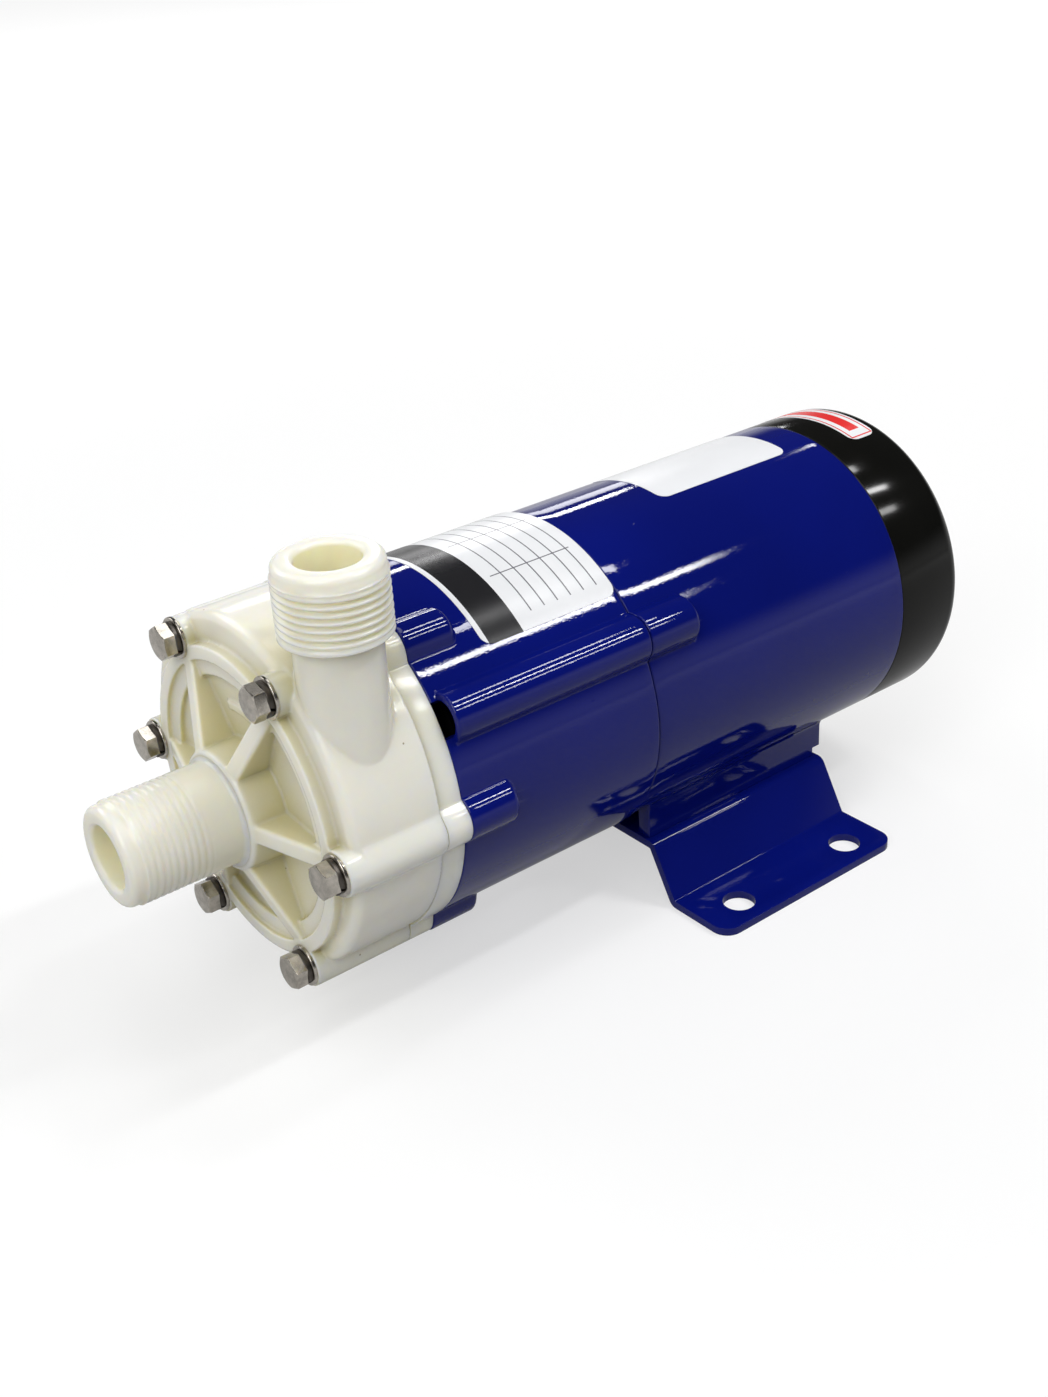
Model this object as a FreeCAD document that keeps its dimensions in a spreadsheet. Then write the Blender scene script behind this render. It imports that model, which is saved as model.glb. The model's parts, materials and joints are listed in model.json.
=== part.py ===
import FreeCAD, Part
import math
import os
import Sketcher

# A magnetic drive pump: a moulded pump head with G3/4 ports, a bracket that holds
# the magnetic coupling, an induction motor and a pressed foot.
# Every piece is drawn on the shaft's axes: X runs along the shaft from the inlet to
# the motor, Z is up, and X = 0 is the seat of the casing bolts. The placement of each
# piece then puts the origin under the foot, at the centre of its four holes.
# All lengths are millimetres and all angles degrees.

SIZES = {
    # Frame
    "axis_height": 61.8,
    "holes_behind_seat": 138.8,
    # Casing bolts, M5
    "bolt_circle": 42.7,
    "bolt_count": 6,
    "bolt_radius": 2.5,
    "bolt_play": 0.25,
    "bolt_head_height": 3.2,
    "hex_across_flats": 8.0,
    "flat_washer_radius": 5.3,
    "flat_washer_thickness": 0.8,
    "spring_washer_radius": 4.4,
    "spring_washer_thickness": 1.2,
    "bolt_grip": 11.0,
    "thread_play": 0.05,
    # Front casing
    "drum_radius": 45.8,
    "drum_rise": 1.9,
    "drum_face": 3.0,
    "drum_round": 2.6,
    "parting_face": 27.0,
    "boss_radius": 5.8,
    "ring_outer": 40.0,
    "ring_inner": 35.5,
    "ledge_depth": 4.0,
    "floor_radius": 30.5,
    "floor_depth": 7.5,
    "floor_wall": 3.5,
    "hub_reach": 6.3,
    "hub_radius": 15.6,
    "hub_base_radius": 17.0,
    "rib_count": 6,
    "rib_thickness": 3.0,
    "rib_reach": 33.4,
    "rib_drop": 0.6,
    "chamber_radius": 33.5,
    "chamber_rise": 1.5,
    # Ports, G3/4
    "port_radius": 13.22,
    "port_lead_radius": 12.3,
    "port_lead": 4.4,
    "port_lip": 1.3,
    "thread_pitch": 1.814,
    "thread_depth": 0.9,
    "thread_turns": 8,
    "inlet_reach": 36.0,
    "inlet_bore": 8.0,
    "outlet_height": 70.0,
    "outlet_station": 14.2,
    "outlet_offset": 30.6,
    "outlet_collar": 19.4,
    "outlet_pipe_radius": 10.4,
    "outlet_bore": 7.6,
    "outlet_bore_depth": 24.0,
    "outlet_throat": 5.4,
    # Rear casing
    "flange_radius": 44.9,
    "flange_thickness": 7.0,
    "flange_web": 4.0,
    "can_radius": 20.5,
    "can_wall": 2.2,
    "can_length": 49.0,
    "can_end_wall": 3.0,
    "socket_radius": 7.0,
    "socket_depth": 7.0,
    "relief_outer": 38.0,
    "relief_inner": 24.5,
    "ring_seal_radius": 37.6,
    "ring_seal_section": 1.1,
    "ring_groove_play": 0.1,
    # Spindle and its supports
    "spindle_radius": 4.0,
    "spindle_end_play": 0.2,
    "support_radius": 5.6,
    "support_seat_radius": 8.6,
    "support_seat_reach": 3.0,
    "support_vane_thickness": 2.2,
    "support_vane_length": 4.5,
    "support_vane_count": 3,
    "support_end": 13.5,
    "support_socket": 10.5,
    "thrust_thickness": 2.0,
    "thrust_radius": 6.2,
    "thrust_play": 0.5,
    "mouth_ring_radius": 14.0,
    "mouth_ring_wall": 1.4,
    "mouth_ring_length": 3.0,
    # Impeller and its magnet
    "mouth_gap": 0.4,
    "eye_radius": 10.6,
    "neck_overlap": 2.0,
    "impeller_radius": 29.8,
    "impeller_front_gap": 1.2,
    "shroud_thickness": 1.8,
    "vane_height": 5.5,
    "vane_thickness": 1.8,
    "vane_count": 6,
    "vane_root": 12.0,
    "vane_lean": 9.0,
    "bush_radius": 6.5,
    "bush_running_play": 0.05,
    "sleeve_radius": 9.5,
    "magnet_radius": 15.8,
    "capsule_radius": 17.3,
    "capsule_end_wall": 1.8,
    # Drive magnets and their yoke
    "coupling_gap": 1.8,
    "drive_magnet_thickness": 5.6,
    "drive_magnet_count": 8,
    "drive_magnet_gap": 0.8,
    "yoke_wall": 3.2,
    "yoke_front_gap": 2.0,
    "yoke_end_gap": 1.6,
    "yoke_plate": 4.5,
    "yoke_hub_radius": 11.0,
    "yoke_hub_length": 9.0,
    "set_screw_radius": 2.0,
    # Bracket
    "bracket_radius": 44.9,
    "bracket_wall": 4.0,
    "bracket_length": 62.2,
    "bracket_boss_radius": 6.0,
    "bracket_boss_length": 16.5,
    "bracket_flange": 6.0,
    "channel_angle": 57.5,
    "channel_count": 2,
    "channel_circle": 43.2,
    "channel_radius": 6.4,
    "channel_start": 2.2,
    "channel_pocket": 4.9,
    "channel_pocket_length": 36.0,
    "bracket_screw_grip": 14.0,
    "spigot_radius": 30.0,
    "spigot_length": 5.0,
    "spigot_play": 0.1,
    # Motor casing
    "motor_radius": 44.2,
    "motor_wall": 3.0,
    "motor_length": 92.8,
    "motor_front_wall": 5.8,
    "motor_boss_length": 18.5,
    "bearing_hub_radius": 19.0,
    "bearing_outer": 15.0,
    "bearing_width": 9.0,
    "bearing_shoulder": 3.0,
    "lug_count": 3,
    "lug_circle": 35.6,
    "lug_radius": 5.8,
    "lug_length": 7.2,
    "shield_screw_radius": 2.0,
    # Motor foot rails
    "rail_half_width": 28.5,
    "rail_thickness": 4.5,
    "rail_start": 9.5,
    "rail_length": 67.4,
    "rail_toe": 2.8,
    "rail_toe_height": 2.6,
    "rail_flare": 3.0,
    "rail_boss_radius": 4.6,
    # Shaft and bearings
    "shaft_radius": 5.0,
    "core_seat_radius": 7.5,
    "shaft_end_play": 1.5,
    "bearing_inner_land": 7.6,
    "bearing_outer_land": 12.4,
    "ball_radius": 2.2,
    "ball_count": 8,
    "race_play": 0.18,
    "cage_thickness": 1.0,
    "cage_width": 5.6,
    "spring_thickness": 0.6,
    "spring_inner": 11.4,
    # Stator and rotor
    "stator_start": 24.0,
    "stator_length": 45.0,
    "stator_bore": 22.6,
    "air_gap": 0.6,
    "slot_count": 24,
    "slot_width": 3.2,
    "slot_bottom": 33.5,
    "slot_mouth": 1.4,
    "slot_play": 0.3,
    "coil_overhang": 8.5,
    "coil_inner": 24.6,
    "cage_ring_inner": 12.0,
    "cage_ring_outer": 20.0,
    "cage_ring_length": 5.0,
    # Rear shield
    "shield_plate": 4.5,
    "shield_inset": 3.0,
    "shield_play": 0.1,
    # Rear cover
    "cover_length": 25.4,
    "cover_wall": 2.5,
    "cover_round": 5.0,
    "cover_lip": 2.4,
    "cover_post_count": 3,
    "cover_post_circle": 32.0,
    "cover_post_radius": 4.4,
    "cover_screw_radius": 2.0,
    "cover_screw_head": 3.8,
    "cover_screw_head_height": 2.2,
    "cover_screw_grip": 4.0,
    # Electrical parts in the rear cover
    "capacitor_radius": 9.0,
    "capacitor_length": 30.0,
    "capacitor_rise": 12.0,
    "clip_thickness": 1.2,
    "clip_width": 10.0,
    "clip_foot": 8.0,
    "terminal_width": 28.0,
    "terminal_depth": 11.0,
    "terminal_height": 10.0,
    "terminal_drop": 12.0,
    "terminal_screw_radius": 1.6,
    "terminal_screw_pitch": 8.0,
    "terminal_screw_count": 3,
    # Cable gland
    "gland_station": 13.0,
    "gland_pad_radius": 11.0,
    "gland_pad_reach": 45.4,
    "gland_across_flats": 18.0,
    "gland_hex_height": 4.5,
    "gland_dome_radius": 8.2,
    "gland_dome_height": 6.5,
    "gland_thread_radius": 6.0,
    "gland_bore": 3.6,
    "gland_nut_radius": 9.0,
    "gland_nut_thickness": 3.2,
    # Foot plate
    "plate_thickness": 2.3,
    "plate_length": 67.0,
    "plate_front_margin": 13.0,
    "plate_clearance": 0.3,
    "plate_crown": 30.2,
    "plate_fold": 38.6,
    "plate_half_width": 59.5,
    "plate_bend": 2.0,
    "plate_corner": 5.0,
    "foot_hole_radius": 4.5,
    "foot_hole_pitch": 42.0,
    "foot_hole_margin": 8.5,
    "foot_screw_radius": 2.0,
    "foot_screw_head": 3.6,
    "foot_screw_head_height": 3.0,
    "foot_screw_grip": 6.0,
    "foot_screw_pitch": 44.0,
}


class Size:
    """A number of the model, with the sheet expression that gives it."""

    def __init__(self, value, text):
        self.value = value
        self.text = text

    def joined(self, other, sign, value):
        return Size(value, "(%s %s %s)" % (self.text, sign, other.text))

    def __add__(self, other):
        other = size(other)
        return self.joined(other, "+", self.value + other.value)

    def __sub__(self, other):
        other = size(other)
        return self.joined(other, "-", self.value - other.value)

    def __mul__(self, other):
        other = size(other)
        return self.joined(other, "*", self.value * other.value)

    def __truediv__(self, other):
        other = size(other)
        return self.joined(other, "/", self.value / other.value)

    def __neg__(self):
        return size(0) - self

    def __radd__(self, other):
        return size(other) + self

    def __rsub__(self, other):
        return size(other) - self

    def __rmul__(self, other):
        return size(other) * self


def size(value):
    """A plain number as a Size, and a Size as it is."""
    if isinstance(value, Size):
        return value
    return Size(float(value), "(%.6f)" % value)


def cosine(angle):
    return Size(math.cos(math.radians(angle.value)), "cos(%s)" % angle.text)


def sine(angle):
    return Size(math.sin(math.radians(angle.value)), "sin(%s)" % angle.text)


def square_root(number):
    return Size(math.sqrt(number.value), "sqrt(%s)" % number.text)


doc = FreeCAD.newDocument("MagneticDrivePump")
sheet = doc.addObject("Spreadsheet::Sheet", "Dim")
for row, (name, value) in enumerate(SIZES.items(), start=1):
    sheet.set("A%d" % row, name)
    sheet.set("B%d" % row, str(value))
    sheet.setAlias("B%d" % row, name)
doc.recompute()


class Dimensions:
    """Reads one driving dimension as a Size: D.bolt_circle."""

    def __getattr__(self, name):
        return Size(float(SIZES[name]), "Dim." + name)


D = Dimensions()

# The pieces to write, in the order in which they are made
pieces = []


class Circle:
    """A full circle of a sketch."""

    def __init__(self, across, up, radius):
        self.across, self.up, self.radius = size(across), size(up), size(radius)


def hexagon(across, up, flats):
    """The corners of a hexagon with two flats level."""
    side = flats / square_root(size(3))
    half = side / 2
    return [
        (across - side, up), (across - half, up - flats / 2), (across + half, up - flats / 2),
        (across + side, up), (across + half, up + flats / 2), (across - half, up + flats / 2),
    ]


def rectangle(left, bottom, right, top):
    return [(left, bottom), (right, bottom), (right, top), (left, top)]


class Piece:
    """One sub-part: a body whose features are drawn on the shaft's axes."""

    def __init__(self, name):
        self.body = doc.addObject("PartDesign::Body", name)
        self.body.Label = name
        self.body.setExpression("Placement.Base.x", (-D.holes_behind_seat).text)
        self.body.setExpression("Placement.Base.z", D.axis_height.text)
        pieces.append(self.body)

    def origin(self, role):
        return [part for part in self.body.Origin.OriginFeatures if part.Role == role][0]

    def bind(self, target, place, amount):
        target.setExpression(place, size(amount).text)

    def sketch(self, plane, outlines, at=0):
        """A sketch on an origin plane, moved by 'at' along the plane's normal."""
        drawing = self.body.newObject("Sketcher::SketchObject", "Sketch")
        drawing.AttachmentSupport = [(self.origin(plane), "")]
        drawing.MapMode = "FlatFace"
        drawing.AttachmentOffset = FreeCAD.Placement(
            FreeCAD.Vector(0, 0, size(at).value), FreeCAD.Rotation())
        self.bind(drawing, "AttachmentOffset.Base.z", at)
        for outline in outlines:
            if isinstance(outline, Circle):
                self.draw_circle(drawing, outline)
            else:
                self.draw_polygon(drawing, outline)
        return drawing

    def fix_point(self, drawing, geometry, end, point):
        for kind, amount in zip(("DistanceX", "DistanceY"), point):
            amount = size(amount)
            rule = drawing.addConstraint(
                Sketcher.Constraint(kind, -1, 1, geometry, end, amount.value))
            self.bind(drawing, "Constraints[%d]" % rule, amount)

    def draw_circle(self, drawing, circle):
        centre = FreeCAD.Vector(circle.across.value, circle.up.value, 0)
        normal = FreeCAD.Vector(0, 0, 1)
        index = drawing.addGeometry(Part.Circle(centre, normal, circle.radius.value), False)
        self.fix_point(drawing, index, 3, (circle.across, circle.up))
        rule = drawing.addConstraint(
            Sketcher.Constraint("Radius", index, circle.radius.value))
        self.bind(drawing, "Constraints[%d]" % rule, circle.radius)

    def draw_polygon(self, drawing, points):
        corners = [
            FreeCAD.Vector(size(across).value, size(up).value, 0) for across, up in points]
        first = drawing.GeometryCount
        total = len(corners)
        lines = [
            Part.LineSegment(corner, corners[(index + 1) % total])
            for index, corner in enumerate(corners)]
        drawing.addGeometry(lines, False)
        drawing.addConstraint([
            Sketcher.Constraint("Coincident", first + index, 2, first + (index + 1) % total, 1)
            for index in range(total)])
        for index, point in enumerate(points):
            self.fix_point(drawing, first + index, 1, point)

    def revolve(self, points, cut=False):
        """Turns an outline of (station, radius) points about the shaft's axis."""
        drawing = self.sketch("XZ_Plane", [points])
        kind = "PartDesign::Groove" if cut else "PartDesign::Revolution"
        feature = self.body.newObject(kind, "Turned")
        feature.Profile = drawing
        feature.ReferenceAxis = (drawing, ["H_Axis"])
        feature.Angle = 360
        return feature

    def extrude(self, plane, outlines, start, length, cut=False):
        """Pads or cuts outlines from 'start' along the plane's own direction."""
        drawing = self.sketch(plane, outlines, start)
        feature = self.body.newObject("PartDesign::Pocket" if cut else "PartDesign::Pad", "Prism")
        feature.Profile = drawing
        feature.Length = size(length).value
        self.bind(feature, "Length", length)
        feature.Reversed = cut
        return feature

    def along(self, outlines, start, end, cut=False):
        """A prism along the shaft, between two stations; outlines are (y, z)."""
        return self.extrude("YZ_Plane", outlines, start, end - start, cut)

    def upward(self, outlines, bottom, top, cut=False):
        """A prism along Z, between two heights; outlines are (x, y)."""
        return self.extrude("XY_Plane", outlines, bottom, top - bottom, cut)

    def around(self, features, count, axis="X_Axis"):
        """Repeats features evenly round an origin axis."""
        pattern = self.body.newObject("PartDesign::PolarPattern", "Round")
        pattern.Originals = features
        pattern.Axis = (self.origin(axis), [""])
        pattern.Angle = 360
        pattern.Occurrences = int(count.value)
        self.bind(pattern, "Occurrences", count)
        self.body.Tip = pattern
        return pattern

    def repeat(self, features, axis, pitch, count, backwards=False):
        """Repeats features in a row along an origin axis."""
        pattern = self.body.newObject("PartDesign::LinearPattern", "Row")
        pattern.Originals = features
        pattern.Direction = (self.origin(axis), [""])
        pattern.Length = (pitch * (count - 1)).value
        self.bind(pattern, "Length", pitch * (count - 1))
        pattern.Occurrences = int(count.value)
        self.bind(pattern, "Occurrences", count)
        pattern.Reversed = backwards
        self.body.Tip = pattern
        return pattern

    def mirror(self, features, plane="XZ_Plane"):
        """Mirrors features in an origin plane."""
        pattern = self.body.newObject("PartDesign::Mirrored", "Other")
        pattern.Originals = features
        pattern.MirrorPlane = (self.origin(plane), [""])
        self.body.Tip = pattern
        return pattern

    def round_edges(self, radius, chosen):
        """Fillets the edges of the tip that 'chosen' accepts."""
        doc.recompute()
        tip = self.body.Tip
        names = [
            "Edge%d" % number
            for number, edge in enumerate(tip.Shape.Edges, start=1) if chosen(edge)]
        feature = self.body.newObject("PartDesign::Fillet", "Fillet")
        feature.Base = (tip, names)
        feature.Radius = radius.value
        self.bind(feature, "Radius", radius)
        return feature


def at_station(edge, station, slack=0.01):
    """Whether an edge lies in the plane X = station."""
    box = edge.BoundBox
    return abs(box.XMin - station.value) < slack and abs(box.XMax - station.value) < slack


def tube(name, start, end, outer, inner):
    """A round tube along the shaft."""
    piece = Piece(name)
    piece.revolve([(start, inner), (end, inner), (end, outer), (start, outer)])
    return piece


# Stations along the shaft that several pieces share
bracket_face = D.parting_face + D.flange_thickness
bolt_hole = D.bolt_radius + D.bolt_play
chamber_face = D.floor_depth + D.floor_wall
mouth_ring_start = chamber_face - D.mouth_ring_length
impeller_front = chamber_face + D.impeller_front_gap
vane_start = impeller_front + D.shroud_thickness
vane_end = vane_start + D.vane_height
impeller_back = vane_end + D.shroud_thickness
bush_start = D.support_end + D.thrust_thickness + D.thrust_play
can_end = D.parting_face + D.can_length
socket_end = can_end - D.can_end_wall
socket_start = socket_end - D.socket_depth
capsule_end = socket_start - D.thrust_thickness - D.thrust_play
motor_face = bracket_face + D.bracket_length
motor_end = motor_face + D.motor_length
cover_end = motor_end + D.cover_length
front_bearing_start = motor_face + D.bearing_shoulder
front_bearing_end = front_bearing_start + D.bearing_width
stator_start = motor_face + D.stator_start
stator_end = stator_start + D.stator_length
shield_back = motor_end - D.shield_inset
shield_front = shield_back - D.shield_plate
rear_bearing_end = shield_back - D.bearing_shoulder
rear_bearing_start = rear_bearing_end - D.bearing_width
yoke_plate_start = can_end + D.yoke_end_gap
yoke_plate_end = yoke_plate_start + D.yoke_plate
yoke_end = yoke_plate_end + D.yoke_hub_length
drive_magnet_inner = D.can_radius + D.coupling_gap
drive_magnet_outer = drive_magnet_inner + D.drive_magnet_thickness
plate_top = -(D.motor_radius + D.plate_clearance)
flange_top = D.plate_thickness - D.axis_height


def front_casing():
    """Moulded front half: inlet spout, ribbed face, volute drum and outlet spout."""
    piece = Piece("front_casing")
    piece.along([Circle(0, D.drum_rise, D.drum_radius)], D.drum_face, D.parting_face)
    piece.round_edges(D.drum_round, lambda edge: at_station(edge, D.drum_face))
    piece.upward([Circle(D.outlet_station, -D.outlet_offset, D.outlet_pipe_radius)],
                 size(0), D.outlet_height - D.outlet_collar)
    boss = piece.along([Circle(-D.bolt_circle, 0, D.boss_radius)], size(0), D.parting_face)
    piece.around([boss], D.bolt_count)
    piece.along([Circle(0, 0, D.ring_outer)], size(0), D.ledge_depth)
    piece.along([Circle(0, 0, D.ring_inner)], size(0), D.ledge_depth, cut=True)
    piece.along([Circle(0, 0, D.floor_radius)], size(0), D.floor_depth, cut=True)
    collar = D.outlet_height - D.outlet_collar
    lead = D.outlet_height - D.port_lead
    piece.upward([Circle(D.outlet_station, -D.outlet_offset, D.port_radius)], collar, lead)
    piece.upward([Circle(D.outlet_station, -D.outlet_offset, D.port_lead_radius)],
                 lead, D.outlet_height)
    piece.round_edges(
        D.port_lip,
        lambda edge: abs(edge.BoundBox.ZMin - D.outlet_height.value) < 0.01)
    inlet_face = -D.inlet_reach
    piece.revolve([
        (inlet_face, 0), (inlet_face, D.port_lead_radius - D.port_lip),
        (inlet_face + D.port_lip, D.port_lead_radius),
        (inlet_face + D.port_lead, D.port_lead_radius),
        (inlet_face + D.port_lead, D.port_radius), (-D.hub_reach, D.port_radius),
        (-D.hub_reach, D.hub_radius), (D.floor_depth, D.hub_base_radius),
        (chamber_face, D.hub_base_radius), (chamber_face, 0)])
    rib = piece.extrude("XY_Plane", [[
        (D.rib_drop - D.hub_reach, -D.eye_radius),
        (D.rib_drop - D.hub_reach, -D.hub_radius), (D.ledge_depth, -D.rib_reach),
        (chamber_face, -D.rib_reach), (chamber_face, -D.eye_radius)]],
        -(D.rib_thickness / 2), D.rib_thickness)
    piece.around([rib], D.rib_count)
    piece.along([Circle(0, D.chamber_rise, D.chamber_radius)], chamber_face, D.parting_face,
                cut=True)
    piece.revolve([
        (inlet_face, 0), (chamber_face, 0), (chamber_face, D.mouth_ring_radius),
        (mouth_ring_start, D.mouth_ring_radius), (mouth_ring_start, D.support_seat_radius),
        (-D.support_seat_reach, D.support_seat_radius), (-D.support_seat_reach, D.inlet_bore),
        (inlet_face, D.inlet_bore)], cut=True)
    throat_top = D.outlet_height - D.outlet_bore_depth
    piece.upward([Circle(D.outlet_station, -D.outlet_offset, D.outlet_bore)],
                 throat_top, D.outlet_height, cut=True)
    piece.upward([Circle(D.outlet_station, -D.outlet_offset, D.outlet_throat)],
                 D.bolt_radius, throat_top, cut=True)
    hole = piece.along([Circle(-D.bolt_circle, 0, bolt_hole)], size(0), D.parting_face,
                       cut=True)
    piece.around([hole], D.bolt_count)
    cut_inlet_thread(piece, inlet_face + D.port_lead)
    cut_outlet_thread(piece, lead)


def cut_inlet_thread(piece, start):
    """Ridges of the inlet thread, as grooves in a row."""
    root = D.port_radius - D.thread_depth
    groove = piece.revolve([
        (start, D.port_radius + D.thread_depth), (start + D.thread_pitch / 2, root),
        (start + D.thread_pitch, D.port_radius + D.thread_depth)], cut=True)
    piece.repeat([groove], "X_Axis", D.thread_pitch, D.thread_turns)


def cut_outlet_thread(piece, start):
    """Ridges of the outlet thread, turned about the outlet's own axis."""
    root = D.outlet_station + D.port_radius - D.thread_depth
    over = D.outlet_station + D.port_radius + D.thread_depth
    drawing = piece.sketch("XZ_Plane", [[
        (over, start), (root, start - D.thread_pitch / 2), (over, start - D.thread_pitch)]],
        D.outlet_offset)
    low = FreeCAD.Vector(D.outlet_station.value, 0, 0)
    high = FreeCAD.Vector(D.outlet_station.value, D.port_radius.value, 0)
    axis = drawing.addGeometry(Part.LineSegment(low, high), True)
    piece.fix_point(drawing, axis, 1, (D.outlet_station, 0))
    piece.fix_point(drawing, axis, 2, (D.outlet_station, D.port_radius))
    groove = piece.body.newObject("PartDesign::Groove", "Turned")
    groove.Profile = drawing
    groove.ReferenceAxis = (drawing, ["Axis0"])
    groove.Angle = 360
    piece.repeat([groove], "Z_Axis", D.thread_pitch, D.thread_turns, backwards=True)


def rear_casing():
    """Moulded rear half: bolted flange with the thin can that the magnets turn round."""
    piece = Piece("rear_casing")
    face = D.parting_face
    inner = D.can_radius - D.can_wall
    web = face + D.flange_web
    piece.revolve([
        (face, inner), (face, D.flange_radius), (bracket_face, D.flange_radius),
        (bracket_face, D.relief_outer), (web, D.relief_outer), (web, D.relief_inner),
        (bracket_face, D.can_radius), (can_end, D.can_radius), (can_end, 0),
        (socket_end, 0), (socket_end, D.spindle_radius), (socket_start, D.spindle_radius),
        (socket_start, D.socket_radius), (socket_end, D.socket_radius), (socket_end, inner)])
    boss = piece.along([Circle(-D.bolt_circle, 0, D.boss_radius)], face, bracket_face)
    piece.around([boss], D.bolt_count)
    hole = piece.along([Circle(-D.bolt_circle, 0, bolt_hole)], face, bracket_face, cut=True)
    piece.around([hole], D.bolt_count)
    half = D.ring_seal_section + D.ring_groove_play
    piece.revolve([
        (face, D.ring_seal_radius - half), (face, D.ring_seal_radius + half),
        (face + 2 * D.ring_seal_section, D.ring_seal_radius + half),
        (face + 2 * D.ring_seal_section, D.ring_seal_radius - half)], cut=True)


def casing_o_ring():
    """Rubber ring between the two casing halves."""
    ring = doc.addObject("Part::Torus", "casing_o_ring")
    ring.Label = "casing_o_ring"
    ring.setExpression("Radius1", D.ring_seal_radius.text)
    ring.setExpression("Radius2", D.ring_seal_section.text)
    ring.Placement.Rotation = FreeCAD.Rotation(FreeCAD.Vector(0, 1, 0), 90)
    station = D.parting_face + D.ring_seal_section - D.holes_behind_seat
    ring.setExpression("Placement.Base.x", station.text)
    ring.setExpression("Placement.Base.z", D.axis_height.text)
    pieces.append(ring)


def mouth_ring():
    """Liner that the impeller's neck runs in."""
    tube("mouth_ring", mouth_ring_start, chamber_face,
         D.mouth_ring_radius, D.mouth_ring_radius - D.mouth_ring_wall)


def spindle_support():
    """Three-armed holder of the spindle, pressed into the inlet."""
    piece = Piece("spindle_support")
    nose = -D.support_seat_reach
    half = D.support_vane_thickness / 2
    reach = square_root(D.support_seat_radius * D.support_seat_radius - half * half)
    piece.revolve([
        (nose, 0), (nose, D.support_radius / 2), (nose + D.support_radius / 2, D.support_radius),
        (D.support_end, D.support_radius), (D.support_end, D.spindle_radius),
        (D.support_end - D.support_socket, D.spindle_radius),
        (D.support_end - D.support_socket, 0)])
    arm = piece.extrude("XZ_Plane", [rectangle(
        nose, D.support_radius / 2, nose + D.support_vane_length, reach)],
        -half, D.support_vane_thickness)
    piece.around([arm], D.support_vane_count)


def spindle():
    """Ceramic spindle that stands still while the impeller turns on it."""
    tube("spindle", D.support_end - D.support_socket, socket_end - D.spindle_end_play,
         D.spindle_radius, size(0))


def thrust_washers():
    """Ceramic washers before and behind the impeller's bush."""
    tube("front_thrust_washer", D.support_end, D.support_end + D.thrust_thickness,
         D.thrust_radius, D.spindle_radius)
    tube("rear_thrust_washer", socket_start - D.thrust_thickness, socket_start,
         D.thrust_radius, D.spindle_radius)


def casing_fasteners():
    """Six M5 bolts with their spring and flat washers, in a node for each kind."""
    flat_end = -D.flat_washer_thickness
    spring_end = flat_end - D.spring_washer_thickness
    flat = Piece("casing_flat_washers")
    disc = flat.along([Circle(-D.bolt_circle, 0, D.flat_washer_radius),
                       Circle(-D.bolt_circle, 0, bolt_hole)], flat_end, size(0))
    flat.around([disc], D.bolt_count)
    spring = Piece("casing_spring_washers")
    disc = spring.along([Circle(-D.bolt_circle, 0, D.spring_washer_radius),
                         Circle(-D.bolt_circle, 0, bolt_hole)], spring_end, flat_end)
    spring.around([disc], D.bolt_count)
    bolt = Piece("casing_bolts")
    head = bolt.along([hexagon(-D.bolt_circle, size(0), D.hex_across_flats)],
                      spring_end - D.bolt_head_height, spring_end)
    shank = bolt.along([Circle(-D.bolt_circle, 0, D.bolt_radius)],
                       spring_end, bracket_face + D.bolt_grip)
    bolt.around([head, shank], D.bolt_count)


def impeller():
    """Closed impeller with its neck, vanes and the sleeve that carries the magnet."""
    piece = Piece("impeller")
    neck = D.mouth_ring_radius - D.mouth_ring_wall - D.mouth_gap
    piece.revolve([
        (bush_start, D.bush_radius), (bush_start, D.bush_radius + D.shroud_thickness),
        (vane_end, D.sleeve_radius + D.shroud_thickness), (vane_end, D.impeller_radius),
        (impeller_back, D.impeller_radius), (impeller_back, D.sleeve_radius),
        (capsule_end, D.sleeve_radius),
        (capsule_end, D.bush_radius)])
    overlap = D.shroud_thickness / 2
    blade = piece.along([[
        (D.vane_lean, D.vane_root), (D.vane_lean + D.vane_thickness, D.vane_root),
        (D.vane_thickness, D.impeller_radius - D.vane_thickness),
        (size(0), D.impeller_radius - D.vane_thickness)]],
        vane_start - overlap, vane_end + overlap)
    piece.around([blade], D.vane_count)
    piece.revolve([
        (impeller_front - D.neck_overlap, D.eye_radius), (impeller_front - D.neck_overlap, neck),
        (impeller_front, neck), (impeller_front, D.impeller_radius),
        (vane_start, D.impeller_radius), (vane_start, D.eye_radius)])


def impeller_inserts():
    """Bush, driven magnet and the capsule that seals the magnet in."""
    tube("impeller_bush", bush_start, capsule_end, D.bush_radius,
         D.spindle_radius + D.bush_running_play)
    cap = capsule_end - D.capsule_end_wall
    tube("driven_magnet", impeller_back, cap, D.magnet_radius, D.sleeve_radius)
    capsule = Piece("magnet_capsule")
    capsule.revolve([
        (impeller_back, D.magnet_radius), (impeller_back, D.capsule_radius),
        (capsule_end, D.capsule_radius), (capsule_end, D.sleeve_radius),
        (cap, D.sleeve_radius), (cap, D.magnet_radius)])


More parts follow.
